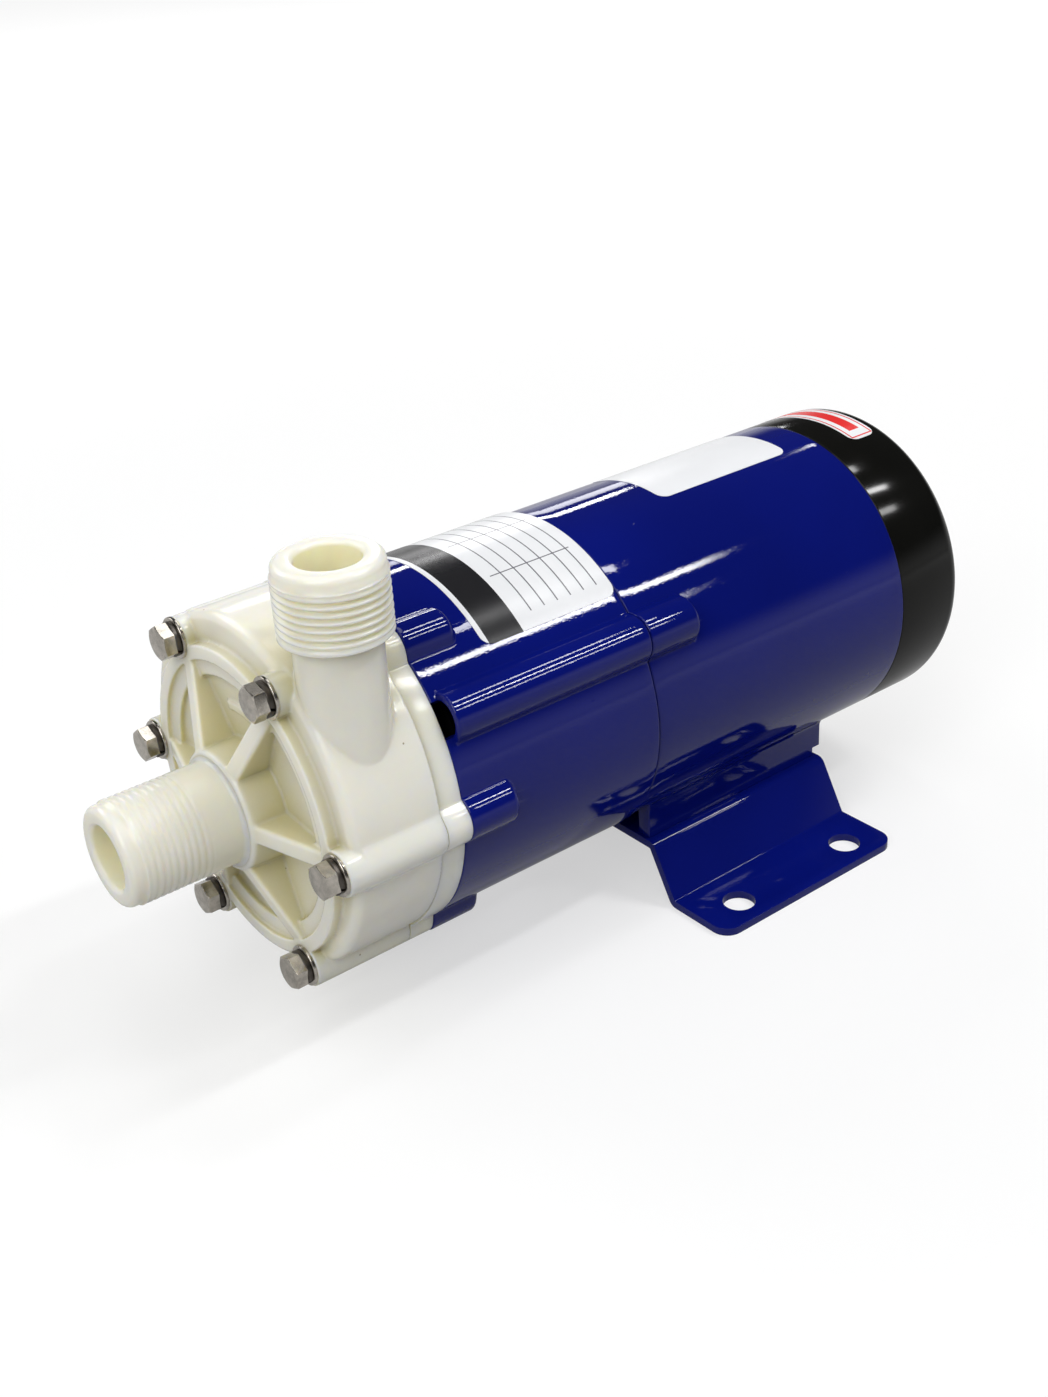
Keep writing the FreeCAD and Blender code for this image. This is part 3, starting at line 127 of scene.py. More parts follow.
class HeadSizes(bpy.types.PropertyGroup):
    """Sizes of the moulded pump head."""

    bolt_circle: length("Bolt circle", "Radius of the circle of casing bolts", 42.7)
    drum_radius: length("Drum radius", "Radius of the volute's drum", 45.8)
    drum_rise: length("Drum rise", "How far the drum's centre lies above the shaft", 1.9)
    shoulder: length("Shoulder", "From the bolt seats back to the drum's shoulder", 3.0)
    shoulder_round: length("Shoulder round", "Radius of the drum's front shoulder", 2.4)
    boss_radius: length("Boss radius", "Radius of the bolt bosses", 5.8)
    top_boss_radius: length("Top boss radius", "Radius of the two bosses sunk in the drum", 5.2)
    ring_outer: length("Ring outside", "Outer radius of the raised front ring", 40.0)
    ring_inner: length("Ring inside", "Inner radius of the raised front ring", 36.3)
    ledge_inner: length("Ledge inside", "Inner radius of the ledge in the ring", 32.0)
    ledge_depth: length("Ledge depth", "From the bolt seats back to the ledge", 1.3)
    floor_edge: length("Floor edge", "From the bolt seats back to the floor at the ledge", 2.9)
    floor_depth: length("Floor depth", "From the bolt seats back to the floor at the hub", 3.8)
    hub_radius: length("Hub radius", "Radius of the hub's front edge", 15.6)
    hub_foot: length("Hub foot", "Radius of the hub where it meets the floor", 15.9)
    hub_rim: length("Hub rim", "Rounding of the hub's front edge", 1.3)
    hub_reach: length("Hub reach", "From the bolt seats forward to the hub's face", 6.3)
    rib_thickness: length("Rib thickness", "Thickness of the six ribs", 5.0)
    rib_edge: length("Rib edge", "Rounding of the ribs' edges", 0.8)
    rib_reach: length("Rib reach", "Radius where the ribs run into the ring", 36.8)
    rib_drop: length("Rib drop", "From the hub's face back to the ribs", 0.8)
    rib_end: length("Rib end", "From the bolt seats back to the ribs' outer ends", 0.4)
    rib_root: length("Rib root", "From the bore out to the ribs' ends inside the hub", 2.6)
    mark_radius: length("Mark radius", "Radius of the raised arc on the floor", 24.4)
    mark_width: length("Mark width", "Width of the raised arc on the floor", 2.2)
    mark_rise: length("Mark rise", "How far the raised arc stands before the floor's edge", 0.3)
    mark_start: angle("Mark start", "Where the raised arc starts", -11)
    mark_end: angle("Mark end", "Where the raised arc ends", 17)
    pipe_radius: length("Pipe radius", "Radius of the plain stretch of the outlet", 10.4)
    collar: length("Collar", "Length of the outlet's threaded end", 18.4)
    stub_length: length("Stub length", "Length of the hub's stub inside the inlet spout", 2.0)
    stub_drop: length("Stub drop", "How much thinner the stub is than the hub", 4.0)
    chamber_radius: length("Chamber radius", "Radius of the impeller's chamber", 33.5)
    chamber_rise: length("Chamber rise", "How far the chamber's centre lies above the shaft", 1.5)
    throat: length("Throat", "Radius of the channel from the chamber to the outlet", 5.4)
    blend: length("Blend", "Width of the soft root between boss and drum", 2.2)
    grain: length("Grain", "Cell size of the moulded skin", 0.36)
    flange_edge: length("Flange edge", "Rounding of the rear casing's flange", 0.3)
    web: length("Web", "Thickness of the rear casing's web", 4.0)
    web_outer: length("Web outside", "Outer radius of the rear casing's web", 38.0)
    web_inner: length("Web inside", "Radius where the web runs into the can", 24.5)
    can_radius: length("Can radius", "Outer radius of the can", 20.5)
    can_wall: length("Can wall", "Wall of the can", 2.2)
    can_end_wall: length("Can end wall", "Thickness of the can's closed end", 3.0)


class ThreadSizes(bpy.types.PropertyGroup):
    """Sizes of the pipe threads."""

    pitch: length("Pitch", "From one ridge to the next", 1.814)
    depth: length("Depth", "Height of the outlet's ridges", 0.85)
    worn_depth: length("Worn depth", "Height of the inlet's softer ridges", 0.15)
    root: length("Root", "Hollow rounding where the inlet's neck meets the hub", 1.2)
    neck: length("Neck", "Plain stretch between the inlet's thread and the hub", 8.3)
    bore_lip: length("Bore lip", "Rounding at the mouth of the bore", 1.2)
    lead: length("Lead", "Length of the plain end before the thread", 3.5)
    lead_radius: length("Lead radius", "Radius of the plain end", 12.75)
    lip: length("Lip", "Radius of the rounded lip", 1.8)
    land: length("Land", "Plain band behind the last ridge", 0.7)
    core_wall: length("Core wall", "Wall of the outlet's core inside the pipe", 2.2)
    overlap: length("Overlap", "How far a spout reaches into the casing", 3.0)


class CastingSizes(bpy.types.PropertyGroup):
    """Sizes of the bracket and of the motor's barrel."""

    bracket_radius: length("Bracket radius", "Outer radius of the bracket", 44.9)
    bracket_wall: length("Bracket wall", "Wall of the bracket", 4.0)
    bracket_flange: length("Bracket flange", "Thickness of the flange on the motor", 6.0)
    bracket_boss: length("Bracket boss", "Radius of the short bolt bosses", 6.0)
    boss_length: length("Boss length", "Length of the short bolt bosses", 15.6)
    boss_round: length("Boss round", "Length of a boss's rounded end", 3.0)
    channel_angle: angle("Channel angle", "From the top to the first long channel", 57.5)
    channel_circle: length("Channel circle", "Radius of the circle of long channels", 43.2)
    channel_radius: length("Channel radius", "Radius of a long channel", 6.4)
    channel_start: length("Channel start", "From the bracket's front to the channel's mouth", 2.2)
    pocket_radius: length("Pocket radius", "Radius of the open end of a channel", 4.9)
    pocket_length: length("Pocket length", "Depth of the open end of a channel", 36.0)
    spigot_radius: length("Spigot radius", "Radius of the spigot in the bracket", 30.0)
    spigot_length: length("Spigot length", "Length of the spigot in the bracket", 5.0)
    motor_radius: length("Motor radius", "Outer radius of the barrel", 44.2)
    motor_wall: length("Motor wall", "Wall of the barrel", 3.0)
    motor_front: length("Motor front", "Thickness of the barrel's front wall", 5.8)
    motor_boss: length("Motor boss", "Length of the bosses on the barrel", 18.5)
    bearing_hub: length("Bearing hub", "Radius of the front bearing's hub", 19.0)
    shaft_hole: length("Shaft hole", "Radius of the hole for the shaft", 12.4)
    spigot_play: length("Spigot play", "Gap between the spigot and the bracket", 0.1)
    channel_drop: length("Channel drop", "How much deeper the channels lie on the barrel", 0.5)
    edge: length("Edge", "Rounding of the castings' end edges", 0.6)
    seam: length("Seam", "Half the width of the groove between the castings", 0.25)
    seam_depth: length("Seam depth", "Depth of the groove between the castings", 1.4)
    blend: length("Blend", "Width of the soft root between boss and drum", 1.5)


class FootSizes(bpy.types.PropertyGroup):
    """Sizes of the rails and of the pressed plate under the motor."""

    rail_half_width: length("Rail half width", "From the middle to a rail's outer face", 28.5)
    rail_thickness: length("Rail thickness", "Thickness of a rail", 4.5)
    rail_start: length("Rail start", "From the barrel's front back to the rails", 9.5)
    rail_length: length("Rail length", "Length of a rail", 67.4)
    rail_flare: length("Rail flare", "Radius where a rail flares into the barrel", 3.2)
    rail_edge: length("Rail edge", "Rounding of a rail's edges", 0.5)
    toe_step: length("Toe step", "How far a rail's toe is set back", 2.8)
    toe_height: length("Toe height", "Height of the toe", 2.6)
    crown: length("Crown", "Half width of the raised middle", 30.2)
    fold: length("Fold", "Half width where the slope meets the flange", 38.6)
    thickness: length("Thickness", "Thickness of the sheet", 2.3)
    bend: length("Bend", "Radius of the bends in the middle of the sheet", 1.7)
    corner: length("Corner", "Radius of the flange's corners", 5.0)
    rim: length("Rim", "Rounding of the painted edges", 0.45)
    screw_head: length("Screw head", "Radius of a foot screw's pan head", 3.6)


class CoverSizes(bpy.types.PropertyGroup):
    """Sizes of the end cap, its screws and the cable gland."""

    wall: length("Wall", "Wall of the end cap", 2.5)
    edge_round: length("Edge round", "Radius of the cap's rear edge", 5.0)
    seam: length("Seam", "Rounding where cap and barrel meet", 0.35)
    screw_circle: length("Screw circle", "Radius of the circle of cap screws", 32.0)
    screw_head: length("Screw head", "Radius of a pan head", 3.8)
    screw_shank: length("Screw shank", "Radius of a screw's shank", 2.0)
    head_height: length("Head height", "Height of a pan head", 2.2)
    lip_length: length("Lip length", "How far the cap's lip reaches into the barrel", 2.4)
    lip_wall: length("Lip wall", "Wall of the lip", 1.2)
    lip_play: length("Lip play", "Gap between the lip and the barrel", 0.1)
    post: length("Post", "Radius of a screw post", 4.4)
    drill: length("Drill", "Radius of a screw hole", 2.25)
    pad_radius: length("Pad radius", "Radius of the gland's pad", 11.0)
    entry: length("Entry", "Radius of the hole for the gland's thread", 6.05)
    gland_reach: length("Gland reach", "From the pad to the gland's tip", 11.0)
    gland_flats: length("Gland flats", "Width of the gland's hexagon", 18.0)
    gland_height: length("Gland height", "Height of the gland's hexagon", 4.5)
    gland_dome: length("Gland dome", "Radius of the gland's dome nut", 8.2)
    gland_flute: length("Gland flute", "Depth of the dome nut's flutes", 0.35)
    gland_thread: length("Gland thread", "Radius of the gland's thread", 6.0)


class BoltSizes(bpy.types.PropertyGroup):
    """Sizes of the casing bolts and their washers."""

    flats: length("Flats", "Width across the hexagon's flats", 8.0)
    shank: length("Shank", "Radius of the shank", 2.5)
    flat_radius: length("Flat washer", "Outer radius of the flat washer", 5.3)
    spring_radius: length("Spring washer", "Outer radius of the spring washer", 4.4)
    chamfer: length("Chamfer", "How far the chamfer runs down from the hexagon's face", 0.45)
    head_edge: length("Head edge", "Rounding of the hexagon's edges", 0.07)
    flat_edge: length("Flat washer edge", "Rounding of the flat washer's stamped edge", 0.25)
    spring_edge: length("Spring washer edge", "Bevel of the spring washer's wire", 0.15)
    play: length("Play", "Gap between the washers and the shank", 0.25)
    slit: length("Slit", "Width of the spring washer's slit", 0.7)


class StickerSizes(bpy.types.PropertyGroup):
    """Sizes and places of the three bare or ruled stickers."""

    thickness: length("Thickness", "Thickness of the film", 0.12)
    corner: length("Corner", "Radius of the corners", 3.0)
    plate_start: length("Plate start", "From the bracket's front to the ruled plate", 20.3)
    plate_length: length("Plate length", "Length of the ruled plate along the shaft", 41.6)
    plate_near: angle("Plate near edge", "Near edge of the ruled plate", 42.0)
    plate_far: angle("Plate far edge", "Far edge of the ruled plate", -36.0)
    motor_start: length("Motor sticker start", "From the barrel's front to its sticker", 33.8)
    motor_length: length("Motor sticker length", "Length of the barrel's sticker", 47.5)
    motor_near: angle("Motor sticker near edge", "Near edge of the barrel's sticker", 12.5)
    motor_far: angle("Motor sticker far edge", "Far edge of the barrel's sticker", -28.0)
    cap_start: length("Cap sticker start", "From the barrel's end to the cap's sticker", 10.2)
    cap_length: length("Cap sticker length", "Length of the cap's sticker along the shaft", 9.6)
    cap_near: angle("Cap sticker near edge", "Near edge of the cap's sticker", 19.0)
    cap_far: angle("Cap sticker far edge", "Far edge of the cap's sticker", -42.0)


class Finishes(bpy.types.PropertyGroup):
    """Colours of the visible finishes."""

    ivory: colour("Ivory", "Moulded plastic of the pump head", 0.87, 0.855, 0.78)
    # Painted shade: a darker, yellower tint that ambient occlusion mixes into the casing's colour
    # in its hollows and recesses.
    ivory_painted_shade: colour("Ivory hollow", "The plastic's colour in its hollows", 0.60, 0.555, 0.32)
    # Painted shade: a yellower tint that ambient occlusion mixes into the spouts' colour in their
    # bores.
    spout_painted_shade: colour("Spout hollow", "The spouts' colour in their bores", 0.87, 0.84, 0.62)
    ivory_depth: colour("Ivory depth", "Light that comes back out of the plastic", 1.0, 0.85, 0.5)
    blue: colour("Blue", "Enamel of the castings and of the foot", 0.002, 0.0062, 0.15)
    black: colour("Black", "Gloss plastic of the end cap", 0.004, 0.004, 0.0035)
    steel: colour("Steel", "Stainless steel of the bolts", 0.52, 0.485, 0.43)
    # Near black, much darker than the bolts' steel.
    spring: colour("Spring", "Dull steel of the spring washers", 0.10, 0.09, 0.08)
    film: colour("Film", "White film of the stickers", 0.80, 0.81, 0.83)
    ink: colour("Ink", "Dark print of the ruled plate", 0.012, 0.012, 0.014)
    red: colour("Red", "Bar on the cap's sticker", 0.72, 0.03, 0.03)


class Studio(bpy.types.PropertyGroup):
    """Camera, lamps and floor."""

    viewpoint: bpy.props.FloatVectorProperty(
        name="Viewpoint", description="Where the camera stands", subtype="TRANSLATION",
        default=(-0.29727, -0.32984, 0.27837))
    lens: amount("Lens", "Focal length in millimetres", 44.58)
    azimuth: angle("Azimuth", "Direction that the camera stands in", -36.67)
    elevation: angle("Elevation", "Height of the camera above the horizon", 28.28)
    roll: angle("Roll", "Tilt of the camera about its own axis", -3.74)
    sky: amount("Sky", "Strength of the light from overhead", 0.05)
    horizon: amount("Horizon", "Strength of the light from the horizon", 0.7)
    backdrop: amount("Backdrop", "Lightness of the background behind the floor", 0.88)
    floor: amount("Floor", "Lightness of the floor", 0.42)


# Operators of the mesh editor, kept short

def free():
    """Leaves edit mode with nothing selected."""
    if bpy.context.object and bpy.context.object.mode != "OBJECT":
        bpy.ops.object.mode_set(mode="OBJECT")
    bpy.ops.object.select_all(action="DESELECT")


def take(piece):
    """Selects one piece and makes it the active one."""
    free()
    piece.select_set(True)
    bpy.context.view_layer.objects.active = piece


def edit(piece, mode="FACE"):
    take(piece)
    bpy.ops.object.mode_set(mode="EDIT")
    bpy.ops.mesh.select_mode(type=mode)


def named(name):
    piece = bpy.context.object
    piece.name = name
    piece.data.name = name
    return piece


def settled(piece):
    """Puts the piece's place into its mesh."""
    take(piece)
    bpy.ops.object.transform_apply(location=True, rotation=True, scale=True)
    return piece


def mend(piece):
    """Merges seams and poles, and turns all faces outwards."""
    edit(piece, "VERT")
    bpy.ops.mesh.select_all(action="SELECT")
    bpy.ops.mesh.remove_doubles(threshold=0.002 * MM)
    bpy.ops.mesh.delete_loose()
    bpy.ops.mesh.select_all(action="SELECT")
    bpy.ops.mesh.normals_make_consistent(inside=False)
    free()
    return piece


def modify(piece, kind, **settings):
    """Adds a modifier, sets it and applies it."""
    take(piece)
    bpy.ops.object.modifier_add(type=kind)
    modifier = piece.modifiers[-1]
    for setting, value in settings.items():
        setattr(modifier, setting, value)
    bpy.ops.object.modifier_apply(modifier=modifier.name)
    return piece


def combine(piece, tool, operation="UNION"):
    """Adds a closed tool to a closed piece, or another operation, and removes the tool."""
    modify(piece, "BOOLEAN", object=tool, operation=operation, solver="MANIFOLD")
    bpy.data.objects.remove(tool)
    return piece


def cut(piece, tool):
    """Cuts a closed tool out of a closed piece."""
    return combine(piece, tool, "DIFFERENCE")


def joined(name, parts):
    """Makes one piece of several."""
    free()
    for part in parts:
        part.select_set(True)
    bpy.context.view_layer.objects.active = parts[0]
    bpy.ops.object.join()
    return named(name)


def even(start, end, count):
    """Evenly spaced numbers, with both ends."""
    return [start + (end - start) * step / (count - 1) for step in range(count)]


def arc(centre, radius, start, end, count):
    """Points of an arc, with angles in degrees."""
    return [
        (centre[0] + radius * math.cos(math.radians(turn)),
         centre[1] + radius * math.sin(math.radians(turn)))
        for turn in even(start, end, count)]


def all_round(count):
    return [FULL_TURN * step / count for step in range(count)]


def on_lathe(along, turn, radius):
    """A point of a lathe whose axis is X, with angle 0 at +Z and 90 degrees at -Y."""
    return Vector((along, -radius * math.sin(turn), radius * math.cos(turn)))


def rolled(name, section, angles, place, swell=None):
    """A grid rolled into a closed wall. Its section is a loop of (station, radius), and
    swell gives the radius of a point at an angle where the wall isn't round."""
    rows, columns = len(section), len(angles)
    free()
    bpy.ops.mesh.primitive_grid_add(x_subdivisions=rows, y_subdivisions=columns, size=1)
    piece = named(name)
    for vertex in piece.data.vertices:
        along, radius = section[round((vertex.co.x + 0.5) * rows) % rows]
        turn = angles[round((vertex.co.y + 0.5) * columns) % columns]
        if swell:
            radius = swell(along, turn, radius)
        vertex.co = place @ on_lathe(along, turn, radius)
    return mend(piece)


def prism(name, outline, depth, place=Matrix()):
    """A flat outline of (x, y) points, drawn out along its own Z."""
    free()
    bpy.ops.mesh.primitive_circle_add(vertices=len(outline), fill_type="NGON")
    piece = named(name)
    for vertex, (across, up) in zip(piece.data.vertices, outline):
        vertex.co = (across, up, 0)
    edit(piece)
    bpy.ops.mesh.select_all(action="SELECT")
    bpy.ops.mesh.extrude_region_move(TRANSFORM_OT_translate={"value": (0, 0, depth)})
    free()
    piece.data.transform(place)
    return mend(piece)


def rod(name, radius, start, end, place, sides=64):
    """A cylinder between two stations of a lathe's axis."""
    free()
    bpy.ops.mesh.primitive_cylinder_add(
        vertices=sides, radius=radius, depth=end - start, location=((start + end) / 2, 0, 0),
        rotation=(0, math.pi / 2, 0))
    piece = settled(named(name))
    piece.data.transform(place)
    return mend(piece)


def beside_shaft(turn, circle):
    """A lathe axis parallel to the shaft, at an angle and a distance from it."""
    return ON_SHAFT @ Matrix.Translation(on_lathe(0, turn, circle))


def soft_max(first, second, blend):
    """The larger of two heights, with a soft root where they cross."""
    overlap = max(blend - abs(first - second), 0)
    return max(first, second) + overlap * overlap / (4 * blend)


def boss_reach(turn, circle, radius):
    """How far a round boss reaches from the shaft, at an angle from the boss's middle."""
    side = circle * math.sin(turn)
    if math.cos(turn) < 0 or abs(side) >= radius:
        return 0
    return circle * math.cos(turn) + math.sqrt(radius * radius - side * side)


def edge_drop(distance, rounding):
    """How far a rounded edge falls back, at a distance from the end."""
    if distance >= rounding:
        return 0
    rest = rounding - distance
    return rounding - math.sqrt(rounding * rounding - rest * rest)


def fine_angles(middles, reach, fine, coarse):
    """Angles for a wall with bosses: close together across each boss, wide elsewhere."""
    steps = int(reach / fine)
    marks = [
        (middle + fine * step) % FULL_TURN
        for middle in middles for step in range(-steps, steps + 1)]
    count = int(FULL_TURN / coarse)
    for mark in all_round(count):
        gaps = [abs(math.remainder(mark - middle, FULL_TURN)) for middle in middles]
        if min(gaps) > steps * fine + coarse / 2:
            marks.append(mark)
    return sorted(marks)


def smooth(piece, degrees):
    """Smooth shading up to a crease of so many degrees."""
    take(piece)
    bpy.ops.object.shade_smooth_by_angle(angle=math.radians(degrees))
    free()


def dress(piece, material, slot, *nodes, crease=35, body="pump"):
    """Shading, finish, body and the nodes that the piece stands for."""
    piece.data.materials.clear()
    piece.data.materials.append(material)
    for polygon in piece.data.polygons:
        polygon.material_index = 0
    smooth(piece, crease)
    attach(piece, body)
    if nodes:
        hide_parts(*nodes)
    return piece


# Finishes

# The finishes by their short names, once they are mixed
FINISH = {}


class Recipe:
    """A material's nodes: each is added with its settings and linked by socket name."""

    def __init__(self, name):
        self.material = bpy.data.materials.new(name)
        self.material.use_nodes = True
        self.tree = self.material.node_tree
        self.shader = self.tree.nodes["Principled BSDF"]

    def add(self, kind, **settings):
        node = self.tree.nodes.new("ShaderNode" + kind)
        for setting, value in settings.items():
            if hasattr(node, setting):
                setattr(node, setting, value)
            else:
                node.inputs[setting.replace("_", " ")].default_value = value
        return node

    def link(self, source, target, socket):
        self.tree.links.new(source, target.inputs[socket])

    def set(self, **values):
        for socket, value in values.items():
            self.shader.inputs[socket.replace("_", " ")].default_value = value

    def place(self):
        return self.add("TexCoord").outputs["Object"]

    def reckon(self, operation, *values):
        """A number worked out from others, each a socket or a plain number."""
        node = self.add("Math", operation=operation)
        for socket, value in enumerate(values):
            if isinstance(value, (int, float)):
                node.inputs[socket].default_value = value
            else:
                self.link(value, node, socket)
        return node.outputs[0]

    def noise(self, scale, detail=2.0, roughness=0.5, stretch=None):
        """Noise over the object; stretch makes it longer along an axis."""
        node = self.add("TexNoise", Scale=scale, Detail=detail, Roughness=roughness)
        where = self.place()
        if stretch:
            mapping = self.add("Mapping")
            mapping.inputs["Scale"].default_value = stretch
            self.link(where, mapping, "Vector")
            where = mapping.outputs["Vector"]
        self.link(where, node, "Vector")
        return node.outputs["Fac"]

    def ramp(self, source, *stops):
        """Turns a number into a colour; a stop is (position, colour)."""
        node = self.add("ValToRGB")
        elements = node.color_ramp.elements
        while len(elements) < len(stops):
            elements.new(0.5)
        for element, (position, tint) in zip(elements, stops):
            element.position = position
            element.color = (*tint, 1)
        self.link(source, node, "Fac")
        return node.outputs["Color"]

    def spread(self, source, low_end, high_end):
        """Maps a number from 0 to 1 onto a range."""
        node = self.add("MapRange")
        node.inputs["To Min"].default_value = low_end
        node.inputs["To Max"].default_value = high_end
        self.link(source, node, "Value")
        return node.outputs["Result"]

    def bump(self, source, height, strength=1.0, under=None):
        """Bump of a height in millimetres, laid over another one if given."""
        node = self.add("Bump", Strength=strength, Distance=height * MM)
        self.link(source, node, "Height")
        if under:
            self.link(under, node, "Normal")
        return node.outputs["Normal"]


def tint(levels, factor):
    return tuple(min(level * factor, 1) for level in levels)


def moulded_ivory(name, finishes, painted_shade_tint):
    """Unpigmented plastic: milky, a little see-through, with flow marks, fine specks and painted
    shade in its hollows.
    """
    recipe = Recipe(name)
    base = tuple(finishes.ivory)
    flow = recipe.noise(45, 4, 0.6)
    body = recipe.ramp(flow, (0.3, tint(base, 0.965)), (0.7, base))
    # Painted shade: ambient occlusion within 30 mm mixes the shade tint into the colour in
    # recesses, creases and bores.
    hollow = recipe.add("AmbientOcclusion", Distance=30 * MM, samples=8)
    depth = recipe.ramp(hollow.outputs["AO"], (0.35, (1, 1, 1)), (0.95, (0, 0, 0)))
    painted_shade_mix = recipe.add("Mix", data_type="RGBA")
    recipe.link(depth, painted_shade_mix, 0)
    recipe.link(body, painted_shade_mix, 6)
    painted_shade_mix.inputs[7].default_value = (*painted_shade_tint, 1)
    specks = recipe.add("TexVoronoi", Scale=95, Randomness=1.0)
    recipe.link(recipe.place(), specks, "Vector")
    dirt = recipe.ramp(specks.outputs["Distance"], (0.018, (0.42, 0.36, 0.24)), (0.03, (1, 1, 1)))
    mix = recipe.add("Mix", data_type="RGBA", blend_type="MULTIPLY")
    mix.inputs["Factor"].default_value = 1
    recipe.link(painted_shade_mix.outputs[2], mix, 6)
    recipe.link(dirt, mix, 7)
    recipe.link(mix.outputs[2], recipe.shader, "Base Color")
    recipe.link(recipe.spread(recipe.noise(160, 3), 0.13, 0.24), recipe.shader, "Roughness")
    grain = recipe.bump(recipe.noise(900, 2), 0.012, 0.5)
    wave = recipe.bump(recipe.noise(70, 2), 0.10, 0.35, grain)
    recipe.link(wave, recipe.shader, "Normal")
    recipe.set(Subsurface_Weight=0.8, Subsurface_Scale=5 * MM, IOR=1.49,
               Subsurface_Radius=tuple(finishes.ivory_depth))
    return recipe.material


def blue_enamel(finishes):
    """Deep gloss enamel, sprayed: a slight orange peel, dust nibs and a clear skin."""
    recipe = Recipe("blue_enamel")
    base = tuple(finishes.blue)
    cloud = recipe.noise(14, 3)
    recipe.link(recipe.ramp(cloud, (0.3, tint(base, 0.85)), (0.7, tint(base, 1.12))),
                recipe.shader, "Base Color")
    peel = recipe.bump(recipe.noise(1600, 2, 0.5), 0.014, 0.8)
    nibs = recipe.add("TexVoronoi", Scale=150, Randomness=1.0)
    recipe.link(recipe.place(), nibs, "Vector")
    spots = recipe.ramp(nibs.outputs["Distance"], (0.03, (1, 1, 1)), (0.07, (0, 0, 0)))
    dusty = recipe.bump(spots, 0.05, 0.6, peel)
    recipe.link(dusty, recipe.shader, "Coat Normal")
    recipe.link(peel, recipe.shader, "Normal")
    recipe.set(Roughness=0.4, Specular_IOR_Level=0.0, Coat_Weight=1.0, Coat_Roughness=0.03,
               Coat_IOR=1.36)
    return recipe.material


def gloss_black(finishes):
    """Black moulding with a polished face and faint haze."""
    recipe = Recipe("gloss_black")
    base = tuple(finishes.black)
    recipe.link(recipe.ramp(recipe.noise(30, 3), (0.3, base), (0.7, tint(base, 1.6))),
                recipe.shader, "Base Color")
    recipe.link(recipe.spread(recipe.noise(60, 4), 0.07, 0.14), recipe.shader, "Roughness")
    recipe.link(recipe.bump(recipe.noise(260, 2), 0.008, 0.5), recipe.shader, "Normal")
    recipe.set(IOR=1.28)
    return recipe.material


def stainless(finishes):
    """Stamped stainless steel, dull grey brown, with random darker and lighter patches."""
    recipe = Recipe("stainless")
    base = tuple(finishes.steel)
    patches = recipe.noise(420, 4, 0.65)
    recipe.link(recipe.ramp(patches, (0.35, tint(base, 0.72)), (0.65, tint(base, 1.1))),
                recipe.shader, "Base Color")
    recipe.link(recipe.spread(patches, 0.24, 0.15), recipe.shader, "Roughness")
    lines = recipe.noise(700, 2, 0.5)
    recipe.link(recipe.bump(lines, 0.012, 0.5), recipe.shader, "Normal")
    recipe.set(Metallic=1.0)
    return recipe.material


def worked_metal(name, base, metallic, rough, scale, stretch):
    """Inner metal: turned, ground or laminated, with marks along one direction."""
    recipe = Recipe(name)
    marks = recipe.noise(scale, 3, 0.6, stretch)
    recipe.link(recipe.ramp(marks, (0.3, tint(base, 0.8)), (0.7, tint(base, 1.15))),
                recipe.shader, "Base Color")
    recipe.link(recipe.spread(marks, rough * 0.8, rough * 1.2), recipe.shader, "Roughness")
    recipe.link(recipe.bump(marks, 0.02, 0.5), recipe.shader, "Normal")
    recipe.set(Metallic=metallic)
    return recipe.material


def white_film(name, finishes):
    """Film of a sticker: white, glossy, with the faint waves of an uneven ground."""
    recipe = Recipe(name)
    base = tuple(finishes.film)
    recipe.link(recipe.ramp(recipe.noise(50, 2), (0.3, tint(base, 0.96)), (0.7, base)),
                recipe.shader, "Base Color")
    recipe.link(recipe.bump(recipe.noise(120, 2), 0.03, 0.5), recipe.shader, "Normal")
    recipe.set(Roughness=0.24, Specular_IOR_Level=0.15)
    return recipe


def bars(recipe, axis_value, low_edge, high_edge):
    """1 where a coordinate lies between two edges, else 0."""
    above = recipe.reckon("GREATER_THAN", axis_value, low_edge)
    below = recipe.reckon("LESS_THAN", axis_value, high_edge)
    return product(recipe, above, below)


def repeated(recipe, axis_value, count):
    """A coordinate that runs from 0 to 1 again and again."""
    return recipe.reckon("FRACT", product(recipe, axis_value, count))


def product(recipe, first, second):
    return recipe.reckon("MULTIPLY", first, second)


def printed(recipe, mask, ink):
    """Lays ink over the film where the mask is 1."""
    source = recipe.shader.inputs["Base Color"].links[0].from_socket
    mix = recipe.add("Mix", data_type="RGBA")
    recipe.link(mask, mix, 0)
    recipe.link(source, mix, 6)
    mix.inputs[7].default_value = (*ink, 1)
    recipe.link(mix.outputs[2], recipe.shader, "Base Color")


def sticker_axes(recipe):
    """The sticker's own coordinates: from its near to its far edge, and along the shaft."""
    split = recipe.add("SeparateXYZ")
    recipe.link(recipe.add("UVMap", uv_map="flat").outputs["UV"], split, "Vector")
    return split.outputs["X"], split.outputs["Y"]


def ruled_film(finishes):
    """A blank form: a dark band at the front end, then thin ruled rows and columns."""
    recipe = white_film("ruled_film", finishes)
    across, along = sticker_axes(recipe)
    ink = tuple(finishes.ink)
    printed(recipe, bars(recipe, along, 0.035, 0.28), ink)
    grey = (0.16, 0.16, 0.18)
    body = product(recipe, bars(recipe, along, 0.33, 0.93), bars(recipe, across, 0.07, 0.93))
    rows = bars(recipe, repeated(recipe, along, 10), 0.0, 0.09)
    printed(recipe, product(recipe, rows, body), grey)
    columns = bars(recipe, repeated(recipe, across, 3.49), 0.0, 0.02)
    printed(recipe, product(recipe, columns, body), grey)
    return recipe.material


